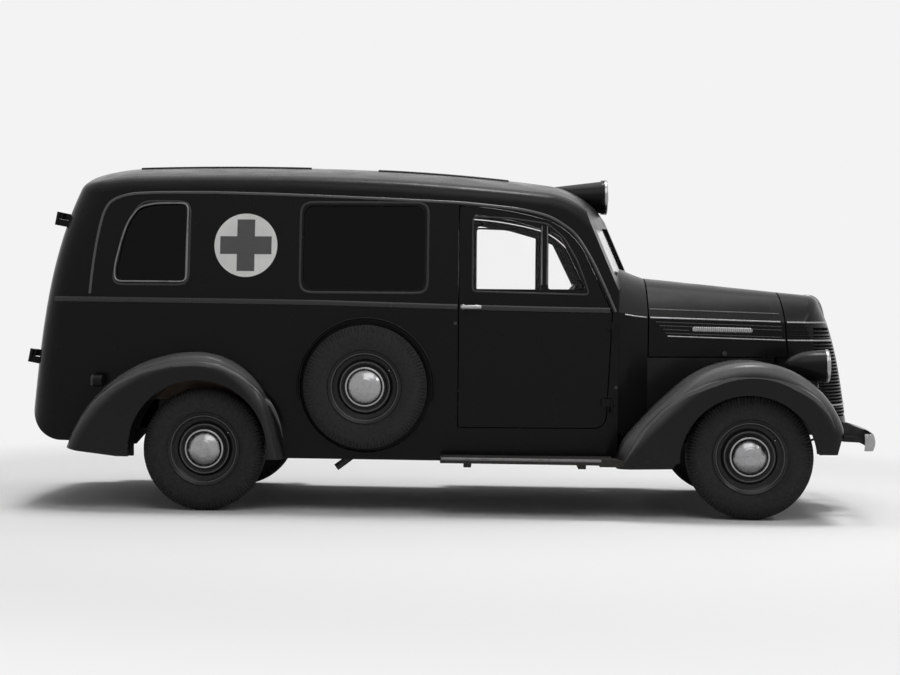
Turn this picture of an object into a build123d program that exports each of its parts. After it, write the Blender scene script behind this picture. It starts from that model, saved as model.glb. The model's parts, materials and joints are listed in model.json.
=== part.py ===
from build123d import *
import math
import os

# Light ambulance truck of the late 1930s: panel body, butterfly hood, four wheels, side-mounted spare.
# Millimetres. +X forward, +Y to the vehicle's left, +Z up, origin on the ground under the middle.
# Stations are distances forward of the rear axle; at() turns one into X.

os.makedirs("parts", exist_ok=True)

# Stance
wheelbase = 3175.0
origin_station = 1402.0
rear_track = 1480.0
front_track = 1460.0
axle_height = 362.0


def at(station):
    """X of a station measured forward of the rear axle."""
    return station - origin_station


rear_x = at(0.0)
front_x = at(wheelbase)

# Clearances
seat_gap = 0.3
running_gap = 0.3
panel_gap = 6.0
hood_gap = 8.0

# Tyre and wheel, 6.50-16
tyre_radius = axle_height
tyre_width = 166.0
rim_radius = 203.0
rim_flange_radius = 214.0
rim_width = 132.0
rim_metal = 5.0
disc_ring_radius = 146.0
disc_face = 26.0
hubcap_radius = 113.0
hubcap_rise = 62.0
spindle_radius = 20.0
hub_radius = 44.0
hub_inboard = 40.0

# Body shell: height, rear corner station, half width over the load space, at the door post, at the cowl
wall = 35.0
body_levels = (
    (280.0, -1103.0, 751.0, 747.0, 667.0),
    (700.0, -1056.0, 776.0, 770.0, 682.0),
    (1241.0, -984.0, 790.0, 782.0, 684.0),
    (1620.0, -900.0, 764.0, 756.0, 648.0),
    (1907.0, -797.0, 730.0, 722.0, 610.0),
    (2200.0, -640.0, 680.0, 672.0, 560.0),
)
rear_corner_radius = 190.0
rear_bow = 35.0
door_post_station = 1490.0
cowl_side_station = 2425.0
cowl_nose_station = 2536.0
cowl_bulge = 16.0
sill_z = 312.0
tail_lift_station = -1062.0

# Roof: the centreline as tangent runs, and the crown across it
roof_top = 2083.0
roof_rear_slope = 1.57
roof_rear_drop = 13.0
roof_rear_station = -450.0
roof_overrun = 500.0
roof_tail_radius = 1200.0
roof_tail_turn = 22.0
roof_crown_radius = 2400.0
roof_edge_radius = 98.0
roof_arcs = ((20500.0, -4.1), (11500.0, -5.0), (520.0, -42.0))

# Windscreen in two flat panes that meet on the centreline
screen_top_station = 2376.0
screen_top_z = 1760.0
screen_foot_station = 2522.0
screen_foot_z = 1421.0
screen_side_station = 2260.0
screen_side_z = 1729.0
screen_side_y = 620.0
glass_thickness = 6.0
glass_inset = 14.0

# Side outlines: roof seam, cab door, windows
seam_rear_z = 1822.0
seam_crest_z = 1872.0
seam_post_z = 1820.0
seam_front_z = 1700.0
door_rear_station = 1496.0
door_sill_z = 512.0
door_front_station = 2386.0
door_belt_z = 1185.0
door_corner_radius = 70.0
belt_z = 1241.0

# Fixed windows of the load body
side_window_middle = 935.5
side_window_z = 1556.0
side_window_length = 713.0
side_window_height = 494.0

# Rear doors
rear_door_half_width = 580.0
rear_door_bottom_z = 560.0
rear_door_top_z = 1800.0
rear_door_corner_radius = 70.0
rear_door_head_gap = 14.0
rear_window_y = 275.0
rear_window_z = 1500.0
rear_window_width = 330.0
rear_window_height = 340.0
rear_hinge_y = 612.0
rear_barrel_radius = 14.0
rear_pin_radius = 6.0
rear_hinge_low = (-1088.0, 900.0)
rear_hinge_high = (-930.0, 1727.0)

# Hood and nose: ridge height, shoulder half width, shoulder height, skirt half width
hood_rear_station = 2604.0
hood_rear_section = (1378.0, 572.0, 1160.0, 560.0)
hood_front_station = 3440.0
hood_front_section = (1307.0, 372.0, 1135.0, 362.0)
cowl_root_station = 2395.0
cowl_root_section = (1462.0, 690.0, 1190.0, 672.0)
cowl_mid_station = 2500.0
cowl_mid_section = (1414.0, 640.0, 1178.0, 622.0)
hood_metal = 22.0
hood_skirt_z = 930.0
apron_bottom_z = 480.0
hood_hinge_radius = 7.0
hood_hinge_sink = 1.0
nose_levels = ((480.0, 3868.0), (800.0, 3820.0), (1120.0, 3743.0), (1320.0, 3655.0))
nose_root_station = 3430.0
nose_root_half_width = 400.0
nose_seam_lean = 49.0

grille_root_station = 3610.0
grille_bottom_z = 570.0
grille_top_z = 1105.0
grille_pitch = 20.0
grille_bar = 9.0
grille_strip = 24.0
nose_round = 70.0

# Fenders: crown tops, and the arcs that run down from them as (radius, turn in degrees)
fender_metal = 20.0
front_crown_top = (3175.0, 913.0)
front_crown_rear = ((600.0, 40.0), (3000.0, 8.0), (300.0, 32.0))
front_crown_fore = ((540.0, 70.0), (200.0, 20.0))
rear_crown_top = (-40.0, 935.0)
rear_crown_rear = ((810.0, 72.0),)
rear_crown_fore = ((450.0, 75.0),)
front_arch_station = 3154.0
front_arch_z = 328.0
rear_arch_station = -22.0
wheelhouse_inner_y = 590.0
rear_fender_y = 905.0
front_fender_y = 915.0
fender_round = 96.0
rear_arch_radius = 410.0
front_arch_radius = 394.0
wheelhouse_radius = 432.0

# Chassis
rail_bottom_z = 470.0
rail_top_z = 620.0
rail_outer_y = 430.0
rail_width = 65.0
rail_metal = 8.0
rail_rear_station = -760.0
rail_front_station = 3700.0
floor_thickness = 30.0
spring_y = 400.0
spring_width = 50.0
spring_leaf = 7.0
spring_shares = (0.45, 0.65, 0.85, 1.0)
spring_thickness = spring_leaf * len(spring_shares)
cross_member_stations = (-740.0, 620.0, 1500.0, 2300.0, 3400.0, 3630.0)
cross_member_width = 70.0
cross_member_height = 60.0
cross_member_z = 482.0
axle_tube_radius = 40.0
differential_radius = 130.0
shaft_radius = 32.0
beam_top_z = 330.0
beam_depth = 60.0
kingpin_y = 640.0
kingpin_radius = 12.0
kingpin_eye_radius = 22.0
ear_height = 24.0
plate_radius = 142.0
plate_thickness = 8.0
plate_inboard = 58.0
spindle_reach = 10.0
drum_radius = 140.0
steering_arm = 150.0
arm_pad = 14.0
tie_rod_y = 600.0
tie_rod_radius = 11.0

# Cab door hardware
door_hinge_x = at(door_front_station + panel_gap / 2)
door_hinge_y = 706.0
door_hinge_heights = (640.0, 1090.0)
door_barrel_radius = 8.0
door_barrel_length = 42.0
door_leaf_length = 60.0
door_pad_length = 18.0
door_pad_y = 685.0
cowl_pad_y = 665.0
door_pin_radius = 4.0
handle_y = 776.0
handle_z = 1212.0

# Lamps
headlamp_y = 620.0
headlamp_z = 885.0
headlamp_radius = 95.0
headlamp_bead = 4.0
roof_lamp_z = 1903.0

# Cab fittings
steering_hub = (at(2090), 350.0, 1190.0)
steering_way = (0.82, 0.0, -0.57)
steering_wheel_radius = 210.0
exhaust_radius = 21.0

# Spare wheel, carried in the right body side
spare_station = 951.0
spare_z = 741.0
spare_face_y = 872.0
spare_well_radius = 388.0
spare_well_depth_y = 690.0
well_metal = 12.0
spare_disc_back = 2.0
spare_boss_radius = 40.0


def save(part_builder, name):
    """Label a finished piece and write it under its node name."""
    part_builder.part.label = name
    export_step(part_builder.part, "parts/" + name + ".step")


def plan_section(z, rear_station, half_rear, half_post, half_cowl, inset):
    """Plan of the body at one height: bowed tail, round corners, tapered cab and a shallow V in front."""
    radius = rear_corner_radius - inset
    tail = at(rear_station) + inset
    side_rear = half_rear - inset
    side_post = half_post - inset
    side_cowl = half_cowl - inset
    corner_side = (tail + radius, side_rear)
    corner_tail = (tail, side_rear - radius)
    corner_mid = (tail + radius * (1 - math.sqrt(0.5)), side_rear - radius * (1 - math.sqrt(0.5)))
    post = (at(door_post_station), side_post)
    cowl = (at(cowl_side_station) - inset, side_cowl)
    flank_mid = ((post[0] + cowl[0]) / 2, (post[1] + cowl[1]) / 2 + cowl_bulge)
    with BuildSketch(Plane.XY.offset(z)) as section:
        with BuildLine():
            ThreePointArc((tail - rear_bow, 0), (tail - rear_bow * 0.75, corner_tail[1] / 2), corner_tail)
            ThreePointArc(corner_tail, corner_mid, corner_side)
            Line(corner_side, post)
            ThreePointArc(post, flank_mid, cowl)
            Line(cowl, (at(cowl_nose_station) - inset, 0))
            mirror(about=Plane.XZ)
        make_face()
    return section.sketch.faces()[0]


def screen_plane(side, inset):
    """Plane of one windscreen pane, facing forward; side is -1 on the right and 1 on the left."""
    top = Vector(at(screen_top_station), 0, screen_top_z)
    foot = Vector(at(screen_foot_station), 0, screen_foot_z)
    outer = Vector(at(screen_side_station), side * screen_side_y, screen_side_z)
    normal = (foot - top).cross(outer - top).normalized()
    if normal.X < 0:
        normal = normal * -1
    return Plane(origin=top - normal * inset, x_dir=(outer - top).normalized(), z_dir=normal)


def body_form(inset):
    """Solid of the cab and load body, drawn in by inset all round: walls, crowned roof and V windscreen."""
    faces = [plan_section(*level, inset) for level in body_levels]
    crest = roof_top - inset
    header_radius = roof_arcs[2][0] - inset
    tail_radius = roof_tail_radius - inset
    lean = math.radians(roof_rear_slope)
    dive = math.radians(roof_rear_slope + roof_tail_turn)
    crown = (at(roof_rear_station), crest - roof_rear_drop)
    tail_end = (
        crown[0] + tail_radius * (math.sin(lean) - math.sin(dive)),
        crown[1] - tail_radius * (math.cos(lean) - math.cos(dive)),
    )
    tail_start = (tail_end[0] - roof_overrun * math.cos(dive), tail_end[1] - roof_overrun * math.sin(dive))
    with BuildLine(Plane.XZ) as roofline:
        tail = Line(tail_start, tail_end)
        rear = JernArc(tail @ 1, tail % 1, tail_radius, -roof_tail_turn)
        middle = JernArc(rear @ 1, rear % 1, roof_arcs[0][0], roof_arcs[0][1])
        fore = JernArc(middle @ 1, middle % 1, roof_arcs[1][0], roof_arcs[1][1])
        header = JernArc(fore @ 1, fore % 1, header_radius, roof_arcs[2][1])
        Line(header @ 1, header @ 1 + (header % 1) * 600)
    reach = 900.0
    drop = roof_crown_radius - math.sqrt(roof_crown_radius ** 2 - reach ** 2)
    start = Plane(roofline.line @ 0, x_dir=(0, 1, 0), z_dir=roofline.line % 0)
    with BuildPart() as sky:
        with BuildSketch(start):
            with BuildLine():
                ThreePointArc((-reach, -drop), (0, 0), (reach, -drop))
                Polyline((reach, -drop), (reach, 1200), (-reach, 1200), (-reach, -drop))
            make_face()
        sweep(path=roofline.line)
    with BuildPart() as form:
        loft(faces)
        add(sky.part, mode=Mode.SUBTRACT)
        rim = [
            edge for edge in form.edges()
            if edge.bounding_box().min.Z > 1600
            and not (edge.bounding_box().size.Y > 1000 and edge.bounding_box().min.X > at(-700))
            and edge.bounding_box().size.Z < 260
            and edge.bounding_box().max.X < at(2500)
        ]
        fillet(rim, roof_edge_radius - inset / 2)
        for side in (-1, 1):
            split(bisect_by=screen_plane(side, inset), keep=Keep.BOTTOM)
    return form.part


def side_prism(outline, y_low, y_high):
    """Solid of a side-view sketch carried across from y_low to y_high."""
    with BuildPart() as prism:
        with BuildSketch(Plane.XZ.offset(-y_low)):
            add(outline)
        extrude(amount=y_low - y_high)
    return prism.part


def rear_prism(outline, x_low, x_high):
    """Solid of a rear-view sketch (Y across, Z up) carried along from x_low to x_high."""
    with BuildPart() as prism:
        with BuildSketch(Plane.YZ.offset(x_low)):
            add(outline)
        extrude(amount=x_high - x_low)
    return prism.part


def block(x_low, x_high, y_low, y_high, z_low, z_high):
    """Plain rectangular region between two corners."""
    size = (x_high - x_low, y_high - y_low, z_high - z_low)
    middle = ((x_low + x_high) / 2, (y_low + y_high) / 2, (z_low + z_high) / 2)
    return Pos(*middle) * Box(*size, mode=Mode.PRIVATE)


def span(side, inner, outer):
    """Lower and upper Y of a band between two half widths on one side."""
    return (inner, outer) if side > 0 else (-outer, -inner)


def roof_outline():
    """Side view of the roof panel above the drip seam."""
    with BuildSketch() as outline:
        with BuildLine():
            Line((at(-1300), seam_rear_z), (at(-600), seam_rear_z))
            ThreePointArc((at(-600), seam_rear_z), (at(400), seam_crest_z), (at(1510), seam_post_z))
            Polyline(
                (at(1510), seam_post_z), (at(1510), seam_front_z), (at(2700), seam_front_z),
                (at(2700), 2300), (at(-1300), 2300), (at(-1300), seam_rear_z),
            )
        make_face()
    return outline.sketch


def cowl_outline():
    """Side view of the region that belongs to the cowl: windscreen post, scuttle and kick panel."""
    with BuildSketch() as outline:
        with BuildLine():
            Polyline(
                (at(2270), 200), (at(2270), 700), (at(1800), 1650), (at(1800), seam_front_z),
                (at(2700), seam_front_z), (at(2700), 200), (at(2270), 200),
            )
        make_face()
    return outline.sketch


def door_outline(grow):
    """Side view of the cab door, grown all round by grow."""
    with BuildSketch() as outline:
        with BuildLine():
            Line((at(door_rear_station), door_sill_z), (at(door_rear_station), 1800))
            ThreePointArc((at(door_rear_station), 1800), (at(1790), 1769), (at(2010), 1718))
            ThreePointArc((at(2010), 1718), (at(2150), 1626), (at(2240), 1490))
            Polyline(
                (at(2240), 1490), (at(door_front_station), door_belt_z),
                (at(door_front_station - 34), door_sill_z), (at(door_rear_station), door_sill_z),
            )
        make_face()
        corner = outline.vertices().sort_by(Axis.Y)[:2].sort_by(Axis.X)[-1]
        fillet(corner, door_corner_radius)
        if grow:
            offset(amount=grow, kind=Kind.INTERSECTION)
    return outline.sketch


def door_window_outline(grow):
    """Side view of the door's main light."""
    with BuildSketch() as outline:
        with BuildLine():
            Polyline(
                (at(1574), 1318), (at(1574), 1757), (at(1800), 1721), (at(1969), 1672), (at(1969), 1318),
                (at(1574), 1318),
            )
        make_face()
        fillet(outline.vertices().group_by(Axis.X)[0], 28)
        if grow:
            offset(amount=grow)
    return outline.sketch


def vent_outline(grow):
    """Side view of the door's triangular vent light."""
    with BuildSketch() as outline:
        with BuildLine():
            Polyline((at(2013), 1320), (at(2013), 1664), (at(2082), 1628), (at(2232), 1320), (at(2013), 1320))
        make_face()
        fillet(outline.vertices(), 12)
        if grow:
            offset(amount=grow)
    return outline.sketch


def side_window_outline(grow):
    """Side view of the long fixed window in the load body."""
    with BuildSketch() as outline:
        with Locations((at(side_window_middle), side_window_z)):
            RectangleRounded(side_window_length + 2 * grow, side_window_height + 2 * grow, 60 + grow)
    return outline.sketch


def quarter_window_outline(grow):
    """Side view of the rear quarter window, its tail edge leaning with the body."""
    with BuildSketch() as outline:
        with BuildLine():
            Polyline(
                (at(-117), 1352), (at(-117), 1806), (at(-401), 1806), (at(-484), 1651), (at(-543), 1352),
                (at(-117), 1352),
            )
        make_face()
        fillet(outline.vertices().sort_by(Axis.X)[:3], 50)
        fillet(outline.vertices().group_by(Axis.X)[-1], 26)
        if grow:
            offset(amount=grow)
    return outline.sketch


def rear_door_outline(side, grow):
    """Rear view of one rear door leaf."""
    inner = panel_gap / 2 - grow
    outer = rear_door_half_width + grow
    y_low, y_high = span(side, inner, outer)
    head = rear_door_top_z + (rear_door_head_gap if grow else 0)
    foot = rear_door_bottom_z - grow
    with BuildSketch() as outline:
        with Locations(((y_low + y_high) / 2, (foot + head) / 2)):
            Rectangle(y_high - y_low, head - foot)
        corner = outline.vertices().group_by(Axis.Y)[-1].sort_by(Axis.X)[0 if side < 0 else -1]
        fillet(corner, rear_door_corner_radius + grow)
    return outline.sketch


def rear_window_outline(side, grow):
    """Rear view of the window in one rear door leaf."""
    with BuildSketch() as outline:
        with Locations((side * rear_window_y, rear_window_z)):
            RectangleRounded(rear_window_width + 2 * grow, rear_window_height + 2 * grow, 40 + grow)
    return outline.sketch


def hood_face(station, section, inset):
    """Cross-section of hood or scuttle: straight skirt, round shoulder, ridge on the centreline."""
    ridge, half, shoulder, skirt = section
    half = half - inset
    skirt = skirt - inset
    ridge = ridge - inset
    with BuildSketch(Plane.YZ.offset(at(station))) as face:
        with BuildLine():
            Line((0, apron_bottom_z), (skirt, apron_bottom_z))
            Line((skirt, apron_bottom_z), (half, shoulder))
            ThreePointArc((half, shoulder), (0.74 * half, shoulder + 0.70 * (ridge - shoulder)), (0, ridge))
            mirror(about=Plane.YZ)
        make_face()
    return face.sketch.faces()[0]


def extrapolated(section_a, section_b, share):
    """Section reached by going on in a straight line from section_a past section_b."""
    return tuple(a + (b - a) * share for a, b in zip(section_a, section_b))


def hood_form(inset):
    """Solid under the hood surface, from the scuttle seam to past the nose."""
    reach = 3920.0
    share = (reach - hood_rear_station) / (hood_front_station - hood_rear_station)
    far = extrapolated(hood_rear_section, hood_front_section, share)
    with BuildPart() as form:
        loft([hood_face(hood_rear_station, hood_rear_section, inset), hood_face(reach, far, inset)], ruled=True)
    return form.part


def cowl_form(inset):
    """Solid under the scuttle surface between cab and hood."""
    with BuildPart() as form:
        loft([
            hood_face(cowl_root_station, cowl_root_section, inset),
            hood_face(cowl_mid_station, cowl_mid_section, inset),
            hood_face(hood_rear_station, hood_rear_section, inset),
        ])
    return form.part


def prow(inset):
    """Solid of the nose in plan, rounded like a ship's bow, leaning back as it rises."""
    faces = []
    for z, front in nose_levels:
        root = at(nose_root_station) - 60
        half = nose_root_half_width - inset
        with BuildSketch(Plane.XY.offset(z)) as level:
            with BuildLine():
                Line((root, half), (at(nose_root_station), half))
                ThreePointArc(
                    (at(nose_root_station), half), (at(front) - inset, 0), (at(nose_root_station), -half)
                )
                Polyline((at(nose_root_station), -half), (root, -half), (root, half))
            make_face()
        faces.append(level.sketch.faces()[0])
    with BuildPart() as bow:
        loft(faces)
    return bow.part


def nose_form(inset):
    """Solid of the radiator shell: the hood surface carried on and cut round by the prow."""
    with BuildPart() as form:
        add(hood_form(inset))
        add(prow(inset), mode=Mode.INTERSECT)
        edges = form.edges().filter_by(
            lambda edge: edge.bounding_box().min.Z > 1100 and edge.bounding_box().size.Y > 30
            and edge.bounding_box().min.X > at(3480)
        )
        fillet(edges, nose_round - inset)
    return form.part


def seam_prism(station_gap):
    """Region ahead of the slanted seam between hood and radiator shell, moved forward by station_gap."""
    top = at(hood_front_station) - nose_seam_lean * 0.55 + station_gap
    foot = top + nose_seam_lean * 1.9
    with BuildSketch() as outline:
        with BuildLine():
            Polyline((top, 1420), (foot, 400), (at(4000), 400), (at(4000), 1420), (top, 1420))
        make_face()
    return side_prism(outline.sketch, -700, 700)


def arch_outline(top, rear_arcs, front_arcs, inset):
    """Side view of a fender crown: tangent arcs down both ways from the top point, closed at the bottom."""
    with BuildSketch() as outline:
        with BuildLine():
            start = (at(top[0]), top[1])
            tip = start
            heading = Vector(-1, 0)
            for radius, turn in rear_arcs:
                run = JernArc(tip, heading, radius, turn)
                tip = run @ 1
                heading = run % 1
            rear_foot = tip + heading * ((tip.Y - 120) / -heading.Y)
            Line(tip, rear_foot)
            tip = start
            heading = Vector(1, 0)
            for radius, turn in front_arcs:
                run = JernArc(tip, heading, radius, -turn)
                tip = run @ 1
                heading = run % 1
            front_foot = tip + heading * ((tip.Y - 120) / -heading.Y)
            Line(tip, front_foot)
            Line(front_foot, rear_foot)
        make_face()
        if inset:
            offset(amount=-inset)
    return outline.sketch


def fender_form(side, outline_sketch, inboard, outboard, round_radius):
    """Solid inside a fender: the crown outline carried across and rounded along its outboard edge."""
    y_low, y_high = span(side, inboard, outboard)
    with BuildPart() as form:
        add(side_prism(outline_sketch, y_low, y_high))
        flank = form.faces().sort_by(Axis.Y)[0 if side < 0 else -1]
        fillet([e for e in flank.edges() if e.center().Z > 200], round_radius)
    return form.part


outer = body_form(0.0) - block(at(-1400), at(2700), -960, 960, 200, sill_z)
inner = body_form(wall)
glass_band = body_form(glass_inset) - body_form(glass_inset + glass_thickness)


SIDES = (("right", -1), ("left", 1))
half_reach = 960.0


def half_space(side, middle_gap=0.0):
    """Everything on one side of the centreline."""
    y_low, y_high = span(side, middle_gap, half_reach)
    return block(at(-1400), at(4100), y_low, y_high, 0, 2400)


roof_region = side_prism(roof_outline(), -half_reach, half_reach)
cowl_region = side_prism(cowl_outline(), -half_reach, half_reach)
tail_region_x = (at(-1300), at(-500))

# Chassis: two channel rails with cross members
with BuildPart() as frame_rails:
    for name, side in SIDES:
        y_low, y_high = span(side, rail_outer_y - rail_width, rail_outer_y)
        add(block(at(rail_rear_station), at(rail_front_station), y_low, y_high, rail_bottom_z, rail_top_z))
        y_low, y_high = span(side, rail_outer_y - rail_width - 1, rail_outer_y - rail_metal)
        add(
            block(
                at(rail_rear_station) - 1, at(rail_front_station) + 1, y_low, y_high,
                rail_bottom_z + rail_metal, rail_top_z - rail_metal,
            ),
            mode=Mode.SUBTRACT,
        )
    for station in cross_member_stations:
        add(
            block(
                at(station), at(station) + cross_member_width, -rail_outer_y + rail_metal / 2,
                rail_outer_y - rail_metal / 2, cross_member_z, cross_member_z + cross_member_height,
            )
        )
save(frame_rails, "frame_rails")

# Engine, one plain block with its gearbox and bearer arms, and the radiator core in front of it
with BuildPart() as engine_block:
    add(block(at(2640), at(3330), -190, 190, 640, 1130))
    add(block(at(2640), at(3330), -150, 150, 500, 640))
    add(block(
        at(2150), at(2640), -95, 95, cross_member_z + cross_member_height + seat_gap, rail_top_z - seat_gap))
    add(block(at(2150), at(cross_member_stations[3]) - seat_gap, -60, 60, 440, 600))
    arm = rail_outer_y - rail_width
    add(block(at(2960), at(3040), -arm + seat_gap, arm - seat_gap, 560, 600))
save(engine_block, "engine_block")

with BuildPart() as radiator:
    add(block(at(3400), at(3470), -290, 290, cross_member_z + cross_member_height + seat_gap, 1180))
    stay = block(at(3460), at(4000), -3, 3, grille_bottom_z, grille_top_z)
    add(stay & nose_form(hood_metal + seat_gap))
save(radiator, "radiator")


def leaf_spring(station, side, middle_z, end_z, half_length):
    """One semi-elliptic spring: a stack of leaves over the axle, each longer than the one below it."""
    y_low, y_high = span(side, spring_y - spring_width / 2, spring_y + spring_width / 2)
    stack = None
    for index, share in enumerate(spring_shares):
        low = index * spring_leaf
        high = low + spring_leaf
        rear_end = at(station - half_length)
        fore_end = at(station + half_length)
        with BuildSketch() as leaf:
            with BuildLine():
                ThreePointArc((rear_end, end_z + low), (at(station), middle_z + low), (fore_end, end_z + low))
                ThreePointArc((rear_end, end_z + high), (at(station), middle_z + high), (fore_end, end_z + high))
                Line((rear_end, end_z + low), (rear_end, end_z + high))
                Line((fore_end, end_z + low), (fore_end, end_z + high))
            make_face()
            with Locations((at(station), middle_z)):
                Rectangle(2 * half_length * share, 600, mode=Mode.INTERSECT)
        bar = side_prism(leaf.sketch, y_low, y_high)
        stack = bar if stack is None else stack + bar
    return stack


with BuildPart() as leaf_springs:
    end_z = rail_bottom_z - seat_gap - spring_thickness
    for name, side in SIDES:
        add(leaf_spring(0.0, side, axle_height + axle_tube_radius + seat_gap, end_z, 520.0))
        add(leaf_spring(wheelbase, side, beam_top_z + seat_gap, end_z, 480.0))
save(leaf_springs, "leaf_springs")

# Rear axle: tube, differential, backing plates, spindles and the propeller shaft
rear_wheel_y = rear_track / 2
front_wheel_y = front_track / 2
with BuildPart() as rear_axle:
    with BuildSketch(Plane.XZ.offset(-rear_wheel_y + plate_inboard)):
        with Locations((rear_x, axle_height)):
            Circle(axle_tube_radius)
    extrude(amount=2 * (rear_wheel_y - plate_inboard))
    with Locations((rear_x, 0, axle_height)):
        Sphere(differential_radius)
    for name, side in SIDES:
        with BuildSketch(Plane.XZ.offset(-side * (rear_wheel_y - plate_inboard))):
            with Locations((rear_x, axle_height)):
                Circle(plate_radius)
        extrude(amount=-side * plate_thickness)
        with BuildSketch(Plane.XZ.offset(-side * (rear_wheel_y - plate_inboard))):
            with Locations((rear_x, axle_height)):
                Circle(spindle_radius)
        extrude(amount=-side * (plate_inboard + spindle_reach))
    shaft_start = (rear_x + differential_radius - 20, axle_height + 8)
    shaft_end = (at(2150) - seat_gap, 470.0)
    shaft_length = math.hypot(shaft_end[0] - shaft_start[0], shaft_end[1] - shaft_start[1])
    shaft_way = Vector(shaft_end[0] - shaft_start[0], 0, shaft_end[1] - shaft_start[1]).normalized()
    with BuildSketch(Plane(origin=(shaft_start[0], 0, shaft_start[1]), z_dir=shaft_way)):
        Circle(shaft_radius)
    extrude(amount=shaft_length - 4)
save(rear_axle, "rear_axle")

# Front axle: dropped I-beam with an eye for the kingpin at each end
with BuildPart() as front_axle:
    with BuildSketch(Plane.YZ.offset(front_x - 28)):
        with BuildLine():
            Polyline(
                (0, beam_top_z - beam_depth), (470, beam_top_z - beam_depth), (600, axle_height - 34),
                (kingpin_y, axle_height - 34), (kingpin_y, axle_height + 34), (600, axle_height + 34),
                (470, beam_top_z), (0, beam_top_z),
            )
            mirror(about=Plane.YZ)
        make_face()
    extrude(amount=56)
    for name, side in SIDES:
        with Locations((front_x, side * kingpin_y, axle_height)):
            Cylinder(60, 90, mode=Mode.SUBTRACT)
        add(block(
            front_x - 15, front_x + 15, *span(side, kingpin_y - 62, kingpin_y),
            axle_height - 34, axle_height + 34))
        with Locations((front_x, side * kingpin_y, axle_height)):
            Cylinder(kingpin_eye_radius, 68)
            Cylinder(kingpin_radius + running_gap, 90, mode=Mode.SUBTRACT)
save(front_axle, "front_axle")

# Steering: a knuckle on each kingpin, and the tie rod that lies on their arms
knuckles = {}
for name, side in SIDES:
    with BuildPart() as knuckle:
        with Locations((front_x, side * kingpin_y, axle_height)):
            Cylinder(kingpin_radius, 2 * (36 + ear_height))
        for sign in (-1, 1):
            ear_z = axle_height + sign * (34.5 + ear_height / 2)
            with Locations((front_x, side * kingpin_y, ear_z)):
                Cylinder(kingpin_eye_radius + 2, ear_height)
            add(block(
                front_x - 20, front_x + 20, *span(side, kingpin_y, front_wheel_y - plate_inboard),
                ear_z - ear_height / 2, ear_z + ear_height / 2))
        with BuildSketch(Plane.XZ.offset(-side * (front_wheel_y - plate_inboard))):
            with Locations((front_x, axle_height)):
                Circle(plate_radius)
        extrude(amount=-side * plate_thickness)
        with BuildSketch(Plane.XZ.offset(-side * (front_wheel_y - plate_inboard))):
            with Locations((front_x, axle_height)):
                Circle(spindle_radius)
        extrude(amount=-side * (plate_inboard + spindle_reach))
        arm_top = axle_height - 34.5
        with BuildSketch(Plane.XY.offset(arm_top - ear_height)):
            with BuildLine():
                Polyline(
                    (front_x, side * (kingpin_y - 16)), (front_x, side * (kingpin_y + 16)),
                    (front_x - steering_arm, side * (tie_rod_y + 14)),
                    (front_x - steering_arm, side * (tie_rod_y - 14)), (front_x, side * (kingpin_y - 16)),
                )
            make_face()
            with Locations((front_x - steering_arm, side * tie_rod_y)):
                Circle(18)
        extrude(amount=arm_pad)
    save(knuckle, "knuckle_" + name)

with BuildPart() as tie_rod:
    tie_z = axle_height - 34.5 - ear_height + arm_pad + seat_gap + tie_rod_radius
    with BuildSketch(Plane.XZ.offset(-tie_rod_y)):
        with Locations((front_x - steering_arm, tie_z)):
            Circle(tie_rod_radius)
    extrude(amount=2 * tie_rod_y)
save(tie_rod, "tie_rod")


def tyre_solid(centre, side):
    """Plain tyre carcass, revolved round the wheel's centre."""
    half = tyre_width / 2
    seat = rim_radius + seat_gap
    with BuildPart() as tyre:
        with BuildSketch(Plane(origin=centre, x_dir=(1, 0, 0), z_dir=(0, 0, 1))):
            with BuildLine():
                Line((seat, -0.62 * half), (seat, 0.62 * half))
                for sign in (-1, 1):
                    ThreePointArc(
                        (seat, sign * 0.62 * half), (tyre_radius - 88, sign * half),
                        (tyre_radius - 24, sign * 0.84 * half),
                    )
                    Line((tyre_radius - 24, sign * 0.84 * half), (tyre_radius - 7, sign * 0.68 * half))
                ThreePointArc(
                    (tyre_radius - 7, -0.68 * half), (tyre_radius, 0), (tyre_radius - 7, 0.68 * half)
                )
            make_face()
        revolve(axis=Axis(centre, (0, 1, 0)))
    return tyre.part


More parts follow.
